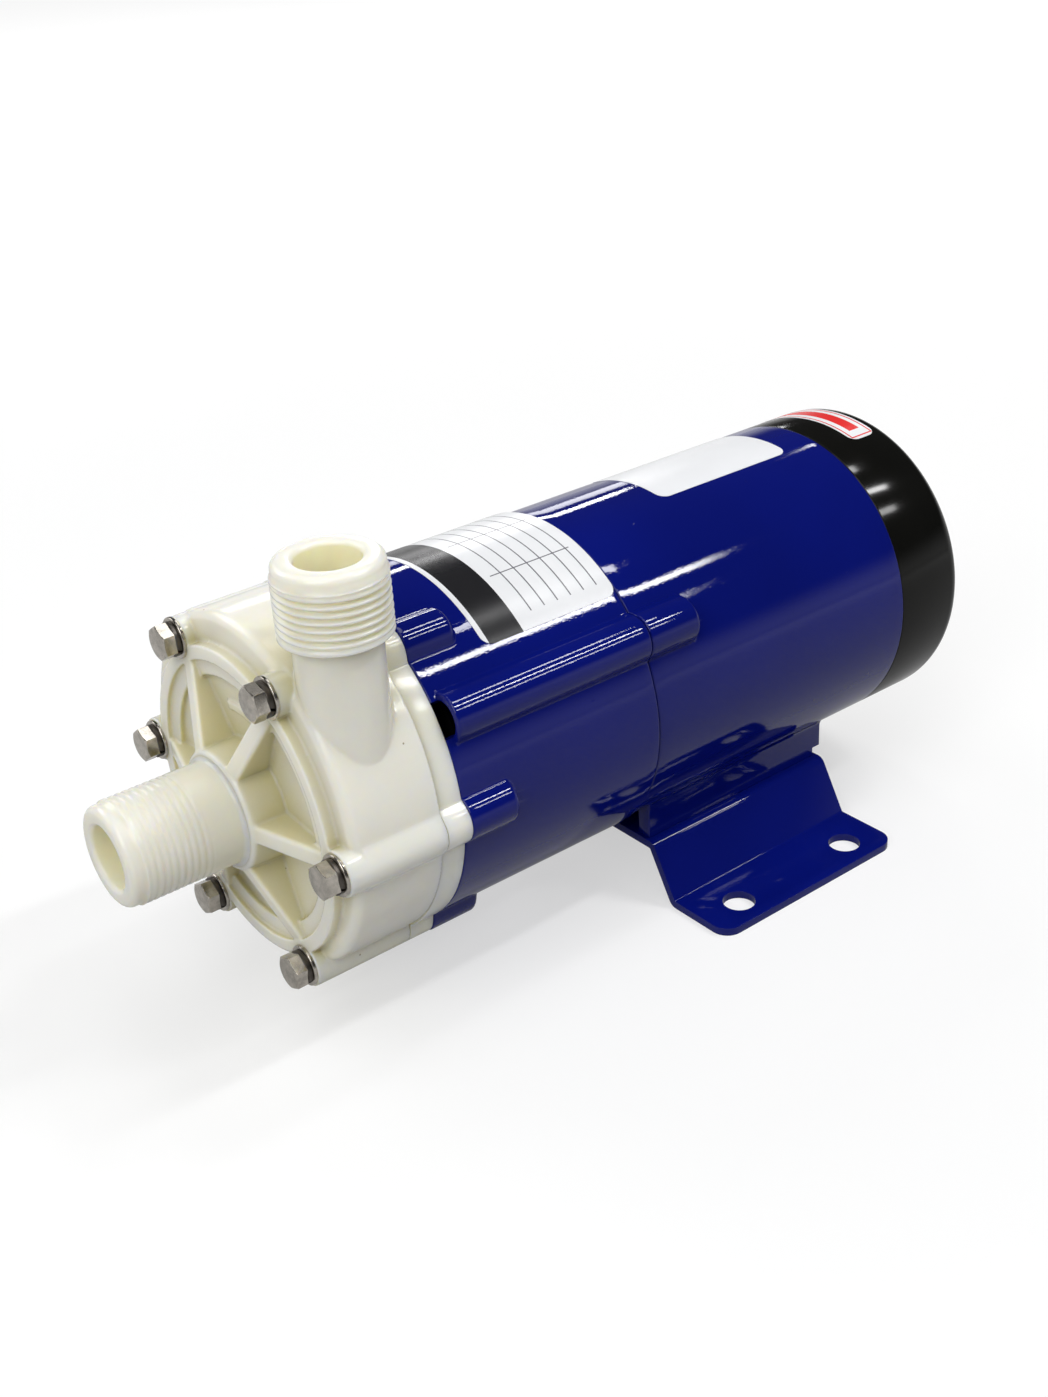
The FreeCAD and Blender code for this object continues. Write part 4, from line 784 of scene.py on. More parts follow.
def barred_film(finishes):
    """White film with one red bar inside a thin red frame."""
    recipe = white_film("barred_film", finishes)
    across, along = sticker_axes(recipe)
    red = tuple(finishes.red)
    frame_area = product(recipe, bars(recipe, along, 0.07, 0.93), bars(recipe, across, 0.02, 0.98))
    printed(recipe, frame_area, red)
    inner = product(recipe, bars(recipe, along, 0.12, 0.88), bars(recipe, across, 0.03, 0.97))
    printed(recipe, inner, tuple(finishes.film))
    bar = product(recipe, bars(recipe, along, 0.3, 0.72), bars(recipe, across, 0.09, 0.91))
    printed(recipe, bar, red)
    return recipe.material


# The pump head

def casing_wall(head):
    """Closed section of the front casing: drum, ring, recess, hub, bore and chamber."""
    shoulder = SEAT + head.shoulder
    top = arc((shoulder + head.shoulder_round, head.drum_radius - head.shoulder_round),
              head.shoulder_round, 90, 180, 9)
    rim = arc((SEAT - head.hub_reach + head.hub_rim, head.hub_radius - head.hub_rim),
              head.hub_rim, 90, 180, 5)
    stub_start = SEAT - head.hub_reach - head.stub_length
    stub_radius = head.hub_radius - head.stub_drop
    seat_radius = high("spindle_support", Y)
    support = low("spindle_support", X)
    ring_start = low("mouth_ring", X)
    ring_radius = high("mouth_ring", Y)
    return [
        (PARTING, head.drum_radius), (PARTING - 8 * MM, head.drum_radius), *top,
        (shoulder, head.ring_outer), (SEAT, head.ring_outer), (SEAT, head.ring_inner),
        (SEAT + head.ledge_depth, head.ring_inner), (SEAT + head.ledge_depth, head.ledge_inner),
        (SEAT + head.floor_edge, head.ledge_inner), (SEAT + head.floor_depth, head.hub_foot),
        *rim, (SEAT - head.hub_reach, stub_radius),
        (stub_start, stub_radius), (stub_start, INLET_RADIUS), (support, INLET_RADIUS),
        (support, seat_radius), (ring_start, seat_radius), (ring_start, ring_radius),
        (CHAMBER, ring_radius), (CHAMBER, head.chamber_radius), (PARTING, head.chamber_radius)]


def boss_size(head, turn):
    """Radius of a bolt boss: the two at the top are sunk in the drum."""
    return head.top_boss_radius if math.cos(turn) > 0.5 else head.boss_radius


def drum_swell(head):
    """Radius of the drum: round about a raised centre, with the bolt bosses on it."""
    shoulder = SEAT + head.shoulder + head.shoulder_round

    def swell(along, turn, radius):
        if radius < head.drum_radius - head.shoulder_round - CLOSE:
            return radius
        rise = head.drum_rise
        side = rise * math.sin(turn)
        reach = rise * math.cos(turn) + math.sqrt(radius * radius - side * side)
        if along < shoulder:
            return reach
        for middle in BOLT_ANGLES:
            boss = boss_reach(turn - middle, head.bolt_circle, boss_size(head, middle))
            reach = soft_max(reach, boss, head.blend)
        return reach

    return swell


class PUMP_OT_casing(bpy.types.Operator):
    """Models the moulded front casing with its bosses, ribs and outlet pipe"""

    bl_idname = "pump.casing"
    bl_label = "Front casing"

    # The moulded skin is thinned to so many triangles
    triangles = 180000

    def execute(self, context):
        head = context.scene.pump_head
        angles = fine_angles(BOLT_ANGLES, math.radians(12), math.radians(0.8), math.radians(2))
        casing = rolled("front_casing_moulding", casing_wall(head), angles, ON_SHAFT,
                        drum_swell(head))
        for turn in BOLT_ANGLES:
            combine(casing, rod("boss", boss_size(head, turn), SEAT, PARTING,
                                beside_shaft(turn, head.bolt_circle)))
            combine(casing, self.rib(head, turn))
        combine(casing, self.mark(head))
        combine(casing, rod("pipe", head.pipe_radius, SHAFT_Z + OVERLAP,
                            OUTLET_TOP - head.collar + OVERLAP, ON_OUTLET, 96))
        chamber = ON_SHAFT @ Matrix.Translation((0, 0, head.chamber_rise))
        cut(casing, rod("chamber", head.chamber_radius, CHAMBER, PARTING + OVERLAP, chamber, 96))
        cut(casing, rod("throat", head.throat, SHAFT_Z + 2 * OVERLAP, OUTLET_TOP, ON_OUTLET))
        bolts = context.scene.pump_bolts
        for turn in BOLT_ANGLES:
            cut(casing, rod("hole", bolts.shank + bolts.play, SEAT - OVERLAP, PARTING + OVERLAP,
                            beside_shaft(turn, head.bolt_circle), 32))
        modify(casing, "REMESH", mode="VOXEL", voxel_size=head.grain)
        modify(casing, "SMOOTH", factor=0.5, iterations=1)
        modify(casing, "DECIMATE", ratio=self.triangles / (2 * len(casing.data.polygons)))
        dress(casing, FINISH["ivory"], "casing_plastic", "front_casing", crease=180)
        return {"FINISHED"}

    def rib(self, head, turn):
        """One triangular rib, from the hub's front edge out to the ring."""
        front = SEAT - head.hub_reach + head.rib_drop
        inner = INLET_RADIUS + head.rib_root
        outline = [
            (front, inner), (front, head.hub_radius), (SEAT + head.rib_end, head.rib_reach),
            (CHAMBER, head.rib_reach), (CHAMBER, inner)]
        flat = Matrix.Rotation(turn, 4, "X") @ Matrix.Rotation(math.pi / 2, 4, "X")
        middle = Matrix.Translation((0, 0, -head.rib_thickness / 2))
        rib = prism("rib", outline, head.rib_thickness, ON_SHAFT @ flat @ middle)
        return modify(rib, "BEVEL", width=head.rib_edge, segments=3, limit_method="ANGLE",
                      angle_limit=math.radians(60))

    def mark(self, head):
        """A short raised arc on the floor of the recess, between the two upper ribs."""
        start, end = (90 - math.degrees(turn) for turn in (head.mark_start, head.mark_end))
        half = head.mark_width / 2
        outline = [*arc((0, 0), head.mark_radius + half, start, end, 12),
                   *arc((0, 0), head.mark_radius - half, end, start, 12)]
        front = SEAT + head.floor_edge - head.mark_rise
        upright = Matrix(((0, 0, 1, front), (-1, 0, 0, 0), (0, 1, 0, SHAFT_Z), (0, 0, 0, 1)))
        return prism("mark", outline, CHAMBER - front - OVERLAP, upright)


def thread_swell(depth, pitch, start, end):
    """Radius of a threaded pipe: a right-hand groove that fades out at both ends."""

    def swell(along, turn, radius):
        if radius < THREAD_RADIUS - CLOSE or not start <= along <= end:
            return radius
        phase = (along / pitch + turn / FULL_TURN) % 1
        flank = min(max((abs(2 * phase - 1) - 0.1) / 0.75, 0), 1)
        flank *= flank * (3 - 2 * flank)
        fade = min((along - start) / pitch, (end - along) / pitch, 1)
        return radius - depth * (1 - flank) * max(fade, 0)

    return swell


def spout(name, thread, tip, direction, root, ridge_root, bore, place, neck=False):
    """A threaded pipe end. Stations run from its tip to its root, up or down the axis.
    Behind its last ridge it keeps its width as a neck, or drops to the pipe."""
    lead = tip + direction * thread.lead
    lip = thread.lip
    inner_lip = thread.bore_lip
    outside = arc((tip + direction * lip, thread.lead_radius - lip), lip, 180, 90, 8)
    inside = arc((tip + direction * inner_lip, bore + inner_lip), inner_lip, 270, 180, 6)
    if direction < 0:
        outside = [(2 * (tip - lip) - along, radius) for along, radius in outside]
        inside = [(2 * (tip - inner_lip) - along, radius) for along, radius in inside]
    ridges = even(lead + direction * 0.3 * MM, ridge_root,
                  int(abs(ridge_root - lead) / thread.pitch * 10))
    section = [
        *inside, *outside, (lead, thread.lead_radius),
        *((along, THREAD_RADIUS) for along in ridges)]
    if neck:
        hub, hollow = root - thread.overlap, thread.root
        section += [
            *arc((hub - hollow, THREAD_RADIUS + hollow), hollow, 270, 350, 7),
            (root, THREAD_RADIUS + hollow * 0.8), (root, bore)]
    else:
        shelf = ridge_root + direction * thread.land
        core = bore + thread.core_wall
        section += [
            (shelf - direction * 0.4 * MM, THREAD_RADIUS), (shelf, THREAD_RADIUS - 0.5 * MM),
            (shelf, core), (root, core), (root, bore)]
    start, end = sorted((ridges[0], ridges[-1]))
    depth = thread.worn_depth if neck else thread.depth
    return rolled(name, section, all_round(144), place,
                  thread_swell(depth, thread.pitch, start, end))


class PUMP_OT_spouts(bpy.types.Operator):
    """Models the threaded ends of the inlet and the outlet, with real helical ridges"""

    bl_idname = "pump.spouts"
    bl_label = "Threaded spouts"

    def execute(self, context):
        thread = context.scene.pump_thread
        head = context.scene.pump_head
        hub = SEAT - head.hub_reach
        inlet = spout("inlet_spout", thread, INLET_END, 1, hub + thread.overlap,
                      hub - thread.neck, INLET_RADIUS, ON_SHAFT, True)
        dress(inlet, FINISH["spout"], "casing_plastic", crease=60)
        foot = OUTLET_TOP - head.collar
        outlet = spout("outlet_spout", thread, OUTLET_TOP, -1, foot - thread.overlap,
                       foot + thread.land, OUTLET_RADIUS, ON_OUTLET)
        dress(outlet, FINISH["spout"], "casing_plastic", crease=60)
        return {"FINISHED"}


class PUMP_OT_rear_casing(bpy.types.Operator):
    """Models the rear casing: the flange behind the parting line, and the can"""

    bl_idname = "pump.rear_casing"
    bl_label = "Rear casing"

    def execute(self, context):
        head = context.scene.pump_head
        flange = context.scene.pump_castings.bracket_radius
        edge, web_end = head.flange_edge, PARTING + head.web
        can_end, bore = high("rear_casing", X), head.can_radius - head.can_wall
        rim = [
            *arc((PARTING + edge, flange - edge), edge, 180, 90, 4),
            *arc((BRACKET - edge, flange - edge), edge, 90, 0, 4)]
        section = [
            (PARTING, bore), *rim, (BRACKET, head.web_outer), (web_end, head.web_outer),
            (web_end, head.web_inner), (BRACKET, head.can_radius), (can_end, head.can_radius),
            (can_end, 0), (can_end - head.can_end_wall, 0), (can_end - head.can_end_wall, bore)]

        def swell(along, turn, radius):
            if radius < flange - edge - CLOSE:
                return radius
            drop = flange - radius
            for middle in BOLT_ANGLES:
                boss = boss_reach(turn - middle, head.bolt_circle, head.boss_radius) - drop
                radius = soft_max(radius, boss, head.blend)
            return radius

        angles = fine_angles(BOLT_ANGLES, math.radians(12), math.radians(0.6), math.radians(2))
        casing = rolled("rear_casing_moulding", section, angles, ON_SHAFT, swell)
        dress(casing, FINISH["ivory"], "casing_plastic", "rear_casing", crease=50)
        return {"FINISHED"}


class PUMP_OT_bolts(bpy.types.Operator):
    """Models the hexagon bolts with their spring and flat washers"""

    bl_idname = "pump.bolts"
    bl_label = "Casing bolts"

    # How far each hexagon is turned, in degrees, as a fitter leaves them
    turns = (12, 20, 38, 33, 22, 26)

    def execute(self, context):
        bolts = context.scene.pump_bolts
        circle = context.scene.pump_head.bolt_circle
        heads, springs, flats = [], [], []
        for turn, degrees in zip(BOLT_ANGLES, self.turns):
            place = beside_shaft(turn, circle) @ Matrix.Rotation(math.radians(degrees), 4, "X")
            heads.append(self.bolt(bolts, place))
            springs.append(self.spring_washer(bolts, place))
            flats.append(self.flat_washer(bolts, place))
        dress(joined("hex_bolts", heads), FINISH["steel"], "stainless", "casing_bolts", crease=15)
        dress(joined("spring_washers", springs), FINISH["spring"], "stainless",
              "casing_spring_washers")
        dress(joined("flat_washers", flats), FINISH["steel"], "stainless", "casing_flat_washers")
        return {"FINISHED"}

    def bolt(self, bolts, place):
        """A hexagon cut by a cone, which leaves its curved chamfer, on a plain shank."""
        face = low("casing_bolts", X)
        seat = low("casing_spring_washers", X)
        corner = bolts.flats / math.sqrt(3)
        head = rod("head", corner, face, seat, Matrix(), 6)
        cone = rolled("cone", [
            (face, 0), (face, bolts.flats / 2 * 0.96), (face + bolts.chamfer, corner * 1.03),
            (seat, corner * 1.03), (seat, 0)], all_round(48), Matrix())
        combine(head, cone, "INTERSECT")
        modify(head, "BEVEL", width=bolts.head_edge, segments=2, limit_method="ANGLE",
               angle_limit=math.radians(25), use_clamp_overlap=True)
        shank = rod("shank", bolts.shank, seat - OVERLAP / 2, high("casing_bolts", X), Matrix(), 32)
        combine(head, shank)
        head.data.transform(place)
        return head

    def spring_washer(self, bolts, place):
        """A ring of square wire with a slanting slit."""
        start, end = low("casing_spring_washers", X), high("casing_spring_washers", X)
        inner, outer, edge = bolts.shank + bolts.play, bolts.spring_radius, bolts.spring_edge
        ring = rolled("ring", [
            (start, inner + edge), (start, outer - edge), (start + edge, outer),
            (end - edge, outer), (end, outer - edge), (end, inner + edge), (end - edge, inner),
            (start + edge, inner)], all_round(64), Matrix())
        free()
        bpy.ops.mesh.primitive_cube_add(
            size=1, location=((start + end) / 2, -(inner + outer) / 2, 0),
            rotation=(0, math.radians(25), 0), scale=(3 * MM, 3 * MM, bolts.slit))
        cut(ring, settled(named("slit")))
        ring.data.transform(place)
        return ring

    def flat_washer(self, bolts, place):
        """A stamped ring with one soft edge."""
        start, end = low("casing_flat_washers", X), high("casing_flat_washers", X)
        inner, outer, edge = bolts.shank + bolts.play, bolts.flat_radius, bolts.flat_edge
        ring = rolled("ring", [
            (start, inner + edge / 2), *arc((start + edge, outer - edge), edge, 180, 90, 4),
            (end, outer), (end, inner), (start + edge / 2, inner)], all_round(72), Matrix())
        ring.data.transform(place)
        return ring


# The castings

def channel_angles(castings):
    return [castings.channel_angle, castings.channel_angle + math.pi]


class PUMP_OT_bracket(bpy.types.Operator):
    """Models the cast bracket with its short bosses and its two long screw channels"""

    bl_idname = "pump.bracket"
    bl_label = "Bracket"

    def execute(self, context):
        castings = context.scene.pump_castings
        circle = context.scene.pump_head.bolt_circle
        channels = channel_angles(castings)
        wall = castings.bracket_radius - castings.bracket_wall
        flange = MOTOR - castings.bracket_flange
        section = [(station, castings.bracket_radius) for station in self.stations(castings)]
        groove = castings.bracket_radius - castings.seam_depth
        section += [
            (MOTOR - castings.seam, groove), (MOTOR, groove),
            (MOTOR, castings.spigot_radius), (flange, castings.spigot_radius), (flange, wall),
            (BRACKET, wall)]
        angles = fine_angles(BOLT_ANGLES + channels, math.radians(11), math.radians(0.45),
                             math.radians(2))
        bracket = rolled("bracket_casting", section, angles, ON_SHAFT,
                         self.swell(castings, circle, channels))
        bolts = context.scene.pump_bolts
        start, pocket = BRACKET - OVERLAP, castings.pocket_radius
        for turn in channels:
            place = beside_shaft(turn, castings.channel_circle)
            pocket_end = BRACKET + castings.channel_start + castings.pocket_length
            cut(bracket, rod("pocket", pocket, start, pocket_end, place))
            cut(bracket, rod("hole", bolts.shank + bolts.play, pocket_end - OVERLAP,
                             MOTOR + OVERLAP, place, 32))
        for turn in BOLT_ANGLES:
            cut(bracket, rod("hole", bolts.shank + 0.05 * MM, start,
                             high("casing_bolts", X) + bolts.play, beside_shaft(turn, circle), 32))
        dress(bracket, FINISH["blue"], "blue_paint", "motor_bracket", crease=40)
        return {"FINISHED"}

    def stations(self, castings):
        """Stations of the outer skin, close together where its height changes."""
        mouth = BRACKET + castings.channel_start
        dome = BRACKET + castings.boss_length - castings.boss_round
        return [
            *even(BRACKET, BRACKET + castings.edge, 5), mouth - 0.06 * MM, mouth,
            *even(mouth + 0.12 * MM, mouth + 1.0 * MM, 5), BRACKET + 8 * MM,
            *even(dome, BRACKET + castings.boss_length, 16), BRACKET + 20 * MM,
            *even(BRACKET + 27 * MM, MOTOR - 3 * MM, 6),
            *even(MOTOR - castings.seam - castings.edge, MOTOR - castings.seam, 5)]

    def swell(self, castings, circle, channels):
        mouth = BRACKET + castings.channel_start
        dome = BRACKET + castings.boss_length - castings.boss_round

        def swell(along, turn, radius):
            if radius < castings.bracket_radius - CLOSE:
                return radius
            past = max((along - dome) / castings.boss_round, 0)
            boss_radius = castings.bracket_boss * math.sqrt(max(1 - past * past, 0))
            for middle in BOLT_ANGLES:
                boss = boss_reach(turn - middle, circle, boss_radius)
                radius = soft_max(radius, boss, castings.blend)
            if along >= mouth:
                channel_radius = castings.channel_radius - edge_drop(along - mouth, 0.6 * MM)
                for middle in channels:
                    channel = boss_reach(turn - middle, castings.channel_circle, channel_radius)
                    radius = soft_max(radius, channel, castings.blend)
            end = min(along - BRACKET, MOTOR - castings.seam - along)
            return radius - edge_drop(end, castings.edge)

        return swell


class PUMP_OT_motor(bpy.types.Operator):
    """Models the cast motor barrel with its front wall, its bosses and its foot rails"""

    bl_idname = "pump.motor"
    bl_label = "Motor barrel"

    def execute(self, context):
        castings = context.scene.pump_castings
        channels = channel_angles(castings)
        radius, inner = castings.motor_radius, castings.motor_radius - castings.motor_wall
        front = MOTOR + castings.motor_front
        hub = castings.bearing_hub
        spigot = MOTOR - castings.spigot_length
        spigot_radius = castings.spigot_radius - castings.spigot_play
        bearing = high("front_bearing_outer_ring", Y)
        bearing_start, bearing_end = (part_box("front_bearing_outer_ring")[side][X]
                                      for side in (0, 1))
        dome = MOTOR + castings.motor_boss - castings.boss_round
        circle = castings.channel_circle - castings.channel_drop
        seam, rear_edge = MOTOR + castings.seam, context.scene.pump_cover.seam
        stations = [
            *even(seam, seam + castings.edge, 5), MOTOR + 5 * MM,
            *even(dome, MOTOR + castings.motor_boss, 16), MOTOR + 22 * MM,
            *even(MOTOR + 32 * MM, MOTOR_END - 3 * MM, 6),
            *even(MOTOR_END - 0.4 * MM, MOTOR_END, 4)]
        section = [(station, radius) for station in stations]
        section += [
            (MOTOR_END, inner), (front, inner), (front, hub), (bearing_end, hub),
            (bearing_end, bearing), (bearing_start, bearing),
            (bearing_start, castings.shaft_hole), (MOTOR, castings.shaft_hole), (MOTOR, hub),
            (spigot, hub), (spigot, spigot_radius), (MOTOR, spigot_radius),
            (MOTOR, radius - castings.seam_depth), (seam, radius - castings.seam_depth)]

        def swell(along, turn, wall):
            if wall < radius - CLOSE:
                return wall
            past = max((along - dome) / castings.boss_round, 0)
            boss_radius = castings.channel_radius * math.sqrt(max(1 - past * past, 0))
            for middle in channels:
                wall = soft_max(wall, boss_reach(turn - middle, circle, boss_radius),
                                castings.blend)
            front_drop = edge_drop(along - seam, castings.edge)
            return wall - front_drop - edge_drop(MOTOR_END - along, rear_edge)

        angles = fine_angles(channels, math.radians(11), math.radians(0.45), math.radians(1.5))
        barrel = rolled("motor_barrel", section, angles, ON_SHAFT, swell)
        for side in (-1, 1):
            combine(barrel, self.rail(castings, context.scene.pump_foot, side))
        dress(barrel, FINISH["blue"], "blue_paint", "motor_shell", crease=40)
        return {"FINISHED"}

    def rail(self, castings, foot, side):
        """A wall under the barrel that flares into it, with a toe that is set back."""
        radius, flare = castings.motor_radius, foot.rail_flare
        outer, inner = foot.rail_half_width, foot.rail_half_width - foot.rail_thickness
        reach = outer + flare
        drop = math.sqrt((radius + flare) ** 2 - reach * reach)
        end = 180 - math.degrees(math.atan2(drop, reach))
        curve = [(across, SHAFT_Z + up) for across, up in
                 arc((reach, -drop), flare, 180, end, 8)]
        root = radius - castings.motor_wall / 2
        scale = root / (radius + flare)
        outline = [
            (outer, PLATE_TOP), *curve, (reach * scale, SHAFT_Z - drop * scale),
            (inner, SHAFT_Z - math.sqrt(root * root - inner * inner)), (inner, PLATE_TOP)]
        start = MOTOR + foot.rail_start
        upright = Matrix(((0, 0, 1, start), (side, 0, 0, 0), (0, 1, 0, 0), (0, 0, 0, 1)))
        rail = prism("rail", outline, foot.rail_length, upright)
        free()
        bpy.ops.mesh.primitive_cube_add(
            size=1, location=(start + foot.rail_length, side * outer, PLATE_TOP),
            scale=(2 * foot.toe_step, 4 * foot.rail_thickness, 2 * foot.toe_height))
        cut(rail, settled(named("step")))
        modify(rail, "BEVEL", width=foot.rail_edge, segments=3, limit_method="ANGLE",
               angle_limit=math.radians(40))
        return rail


class PUMP_OT_foot(bpy.types.Operator):
    """Models the pressed foot plate: bent sheet, rounded corners and four holes"""

    bl_idname = "pump.foot"
    bl_label = "Foot plate"

    def execute(self, context):
        foot = context.scene.pump_foot
        line = self.bent_line(foot)
        ends = (low("foot_plate", X), high("foot_plate", X))
        columns = len(line) - 1
        free()
        bpy.ops.mesh.primitive_grid_add(x_subdivisions=1, y_subdivisions=columns, size=1)
        plate = named("foot_pressing")
        for vertex in plate.data.vertices:
            across, up = line[round((vertex.co.y + 0.5) * columns)]
            vertex.co = (ends[round(vertex.co.x + 0.5)], across, up)
        half = high("foot_plate", Y)
        edit(plate, "VERT")
        bpy.ops.mesh.select_all(action="DESELECT")
        free()
        for vertex in plate.data.vertices:
            vertex.select = abs(abs(vertex.co.y) - half) < CLOSE
        edit(plate, "VERT")
        bpy.ops.mesh.bevel(offset=foot.corner, segments=8, affect="VERTICES")
        mend(plate)
        modify(plate, "SOLIDIFY", thickness=foot.thickness, offset=0)
        mend(plate)
        for along, side in QUARTERS:
            place = Matrix.Translation((along * FOOT_HOLE_PITCH / 2,
                                        side * FOOT_HOLE_SPREAD / 2, 0))
            cut(plate, rod("hole", FOOT_HOLE_RADIUS, -OVERLAP, 5 * OVERLAP, place @ UPRIGHT, 48))
        modify(plate, "BEVEL", width=foot.rim, segments=3, limit_method="ANGLE",
               angle_limit=math.radians(50))
        dress(plate, FINISH["blue"], "blue_paint", "foot_plate", crease=35)
        return {"FINISHED"}

    def bent_line(self, foot):
        """The sheet's middle line across the motor, as (y, z), with an arc at each bend."""
        middle_top = PLATE_TOP - foot.thickness / 2
        middle_low = foot.thickness / 2
        slope = math.degrees(math.atan2(middle_top - middle_low, foot.fold - foot.crown))
        trim = foot.bend * math.tan(math.radians(slope / 2))
        over = arc((foot.crown - trim, middle_top - foot.bend), foot.bend, 90, 90 - slope, 7)
        under = arc((foot.fold + trim, middle_low + foot.bend), foot.bend, 270 - slope, 270, 7)
        half = [*over, *under, (high("foot_plate", Y), middle_low)]
        return [(-across, up) for across, up in reversed(half)] + half


# The end cap and its parts

def cover_screw_places(cover):
    return [beside_shaft(math.radians(60 + 120 * turn), cover.screw_circle) for turn in range(3)]


class PUMP_OT_cap(bpy.types.Operator):
    """Models the end cap with its screw sinks and the pad of the cable gland"""

    bl_idname = "pump.cap"
    bl_label = "End cap"

    def execute(self, context):
        cover = context.scene.pump_cover
        radius = context.scene.pump_castings.motor_radius
        inner = radius - cover.wall
        lip = radius - context.scene.pump_castings.motor_wall - cover.lip_play
        lip_start, inner_end = MOTOR_END - cover.lip_length, COVER_END - cover.wall
        section = [
            (lip_start, lip - cover.lip_wall), (lip_start, lip), (MOTOR_END, lip),
            *arc((MOTOR_END + cover.seam, radius - cover.seam), cover.seam, 180, 90, 4),
            *arc((COVER_END - cover.edge_round, radius - cover.edge_round), cover.edge_round,
                 90, 0, 12),
            (COVER_END, 0), (inner_end, 0), (inner_end, inner - 2 * MM),
            (inner_end - 2 * MM, inner), (MOTOR_END + cover.lip_length, inner)]
        cap = rolled("end_cap", section, all_round(240), ON_SHAFT)
        face = high("cable_gland", Y) - cover.gland_reach
        combine(cap, rod("pad", cover.pad_radius, radius - 8 * MM, face, ON_GLAND, 72))
        cut(cap, rod("entry", cover.entry, radius - 12 * MM, face + OVERLAP, ON_GLAND, 48))
        screw_tip = low("rear_cover_screws", X)
        for place in cover_screw_places(cover):
            combine(cap, rod("post", cover.post, screw_tip + 4 * MM, COVER_END - OVERLAP, place,
                             40))
            cut(cap, rod("sink", cover.screw_head + 0.3 * MM, COVER_END - cover.head_height,
                         COVER_END + OVERLAP, place, 40))
            cut(cap, rod("drill", cover.drill, screw_tip, COVER_END, place, 24))
        dress(cap, FINISH["black"], "black_cover", "rear_cover", crease=40)
        return {"FINISHED"}


def pan_head_screw(face, seat, tip, radius, shank, place):
    """A pan head with a cross recess, from its face to the tip of its plain shank."""
    side = 1 if face > seat else -1
    rounding = abs(face - seat) * 0.45
    dome = [
        (face, 0), (face, radius * 0.62), (face - side * rounding * 0.25, radius * 0.86),
        (face - side * rounding, radius), (seat, radius), (seat, 0)]
    screw = rolled("screw", dome, all_round(48), Matrix())
    for degrees in (0, 90):
        free()
        bpy.ops.mesh.primitive_cube_add(
            size=1, location=(face, 0, 0), rotation=(math.radians(degrees), 0, 0),
            scale=(2.4 * MM, 0.9 * MM, radius * 1.15))
        cut(screw, settled(named("cross")))
    start, end = sorted((seat + side * 0.2 * MM, tip))
    combine(screw, rod("shank", shank, start, end, Matrix(), 24))
    screw.data.transform(place)
    return screw


class PUMP_OT_screws(bpy.types.Operator):
    """Models the pan head screws of the end cap and of the foot"""

    bl_idname = "pump.screws"
    bl_label = "Pan head screws"

    def execute(self, context):
        cover = context.scene.pump_cover
        seat = COVER_END - cover.head_height
        rear = [
            pan_head_screw(COVER_END - 0.1 * MM, seat, low("rear_cover_screws", X),
                           cover.screw_head, cover.screw_shank,
                           place @ Matrix.Rotation(math.radians(17 + 40 * number), 4, "X"))
            for number, place in enumerate(cover_screw_places(cover))]
        dress(joined("cap_screws", rear), FINISH["steel"], "stainless", "rear_cover_screws")
        bottom, top = low("foot_screws", Z), high("foot_screws", Z)
        seat = PLATE_TOP - context.scene.pump_foot.thickness
        radius, shank = context.scene.pump_foot.screw_head, cover.screw_shank
        reach_x, reach_y = (high("foot_screws", axis) - radius for axis in (X, Y))
        below = [
            pan_head_screw(bottom, seat, top, radius, shank,
                           Matrix.Translation((along * reach_x, side * reach_y, 0)) @ UPRIGHT)
            for along, side in QUARTERS]
        dress(joined("foot_pan_screws", below), FINISH["steel"], "stainless", "foot_screws")
        return {"FINISHED"}


class PUMP_OT_gland(bpy.types.Operator):
    """Models the cable gland: hexagon, fluted dome nut and rubber seal"""

    bl_idname = "pump.gland"
    bl_label = "Cable gland"

    def execute(self, context):
        cover = context.scene.pump_cover
        tip, root = high("cable_gland", Y), low("cable_gland", Y)
        face = tip - cover.gland_reach
        hexagon = face + cover.gland_height
        bore = MOUNTS["cable_entry"]["dims"]["r_mm"] * MM
        body = rod("gland_body", cover.gland_flats / math.sqrt(3), face, hexagon, ON_GLAND, 6)
        modify(body, "BEVEL", width=0.6 * MM, segments=3, limit_method="ANGLE",
               angle_limit=math.radians(25))

        def flutes(along, turn, radius):
            if radius < cover.gland_dome - CLOSE:
                return radius
            return radius - cover.gland_flute * (0.5 + 0.5 * math.cos(12 * turn))

        nut = cover.gland_dome
        root_edge, neck = hexagon - OVERLAP, nut - 1 * MM
        dome = rolled("dome", [
            (root_edge, bore), (root_edge, neck),
            (hexagon + 0.3 * MM, neck), (hexagon + 0.3 * MM, nut), (tip - 2.6 * MM, nut),
            *arc((tip - 2.5 * MM, nut - 2.52 * MM), 2.5 * MM, 88, 0, 8),
            (tip, bore + 0.9 * MM), (tip - 0.8 * MM, bore)], all_round(96), ON_GLAND, flutes)
        combine(body, dome)
        combine(body, rod("thread", cover.gland_thread, root, face + OVERLAP, ON_GLAND, 48))
        cut(body, rod("bore", bore, root - OVERLAP, tip + OVERLAP, ON_GLAND, 48))
        dress(body, FINISH["black"], "black_cover", "cable_gland", crease=35)
        return {"FINISHED"}


# Stickers

def rounded(over, beside, corner):
    """Moves a point of a corner square onto a quarter disc; both run from 0 to corner."""
    a, b = over / corner, beside / corner
    return corner * a * math.sqrt(1 - b * b / 2), corner * b * math.sqrt(1 - a * a / 2)


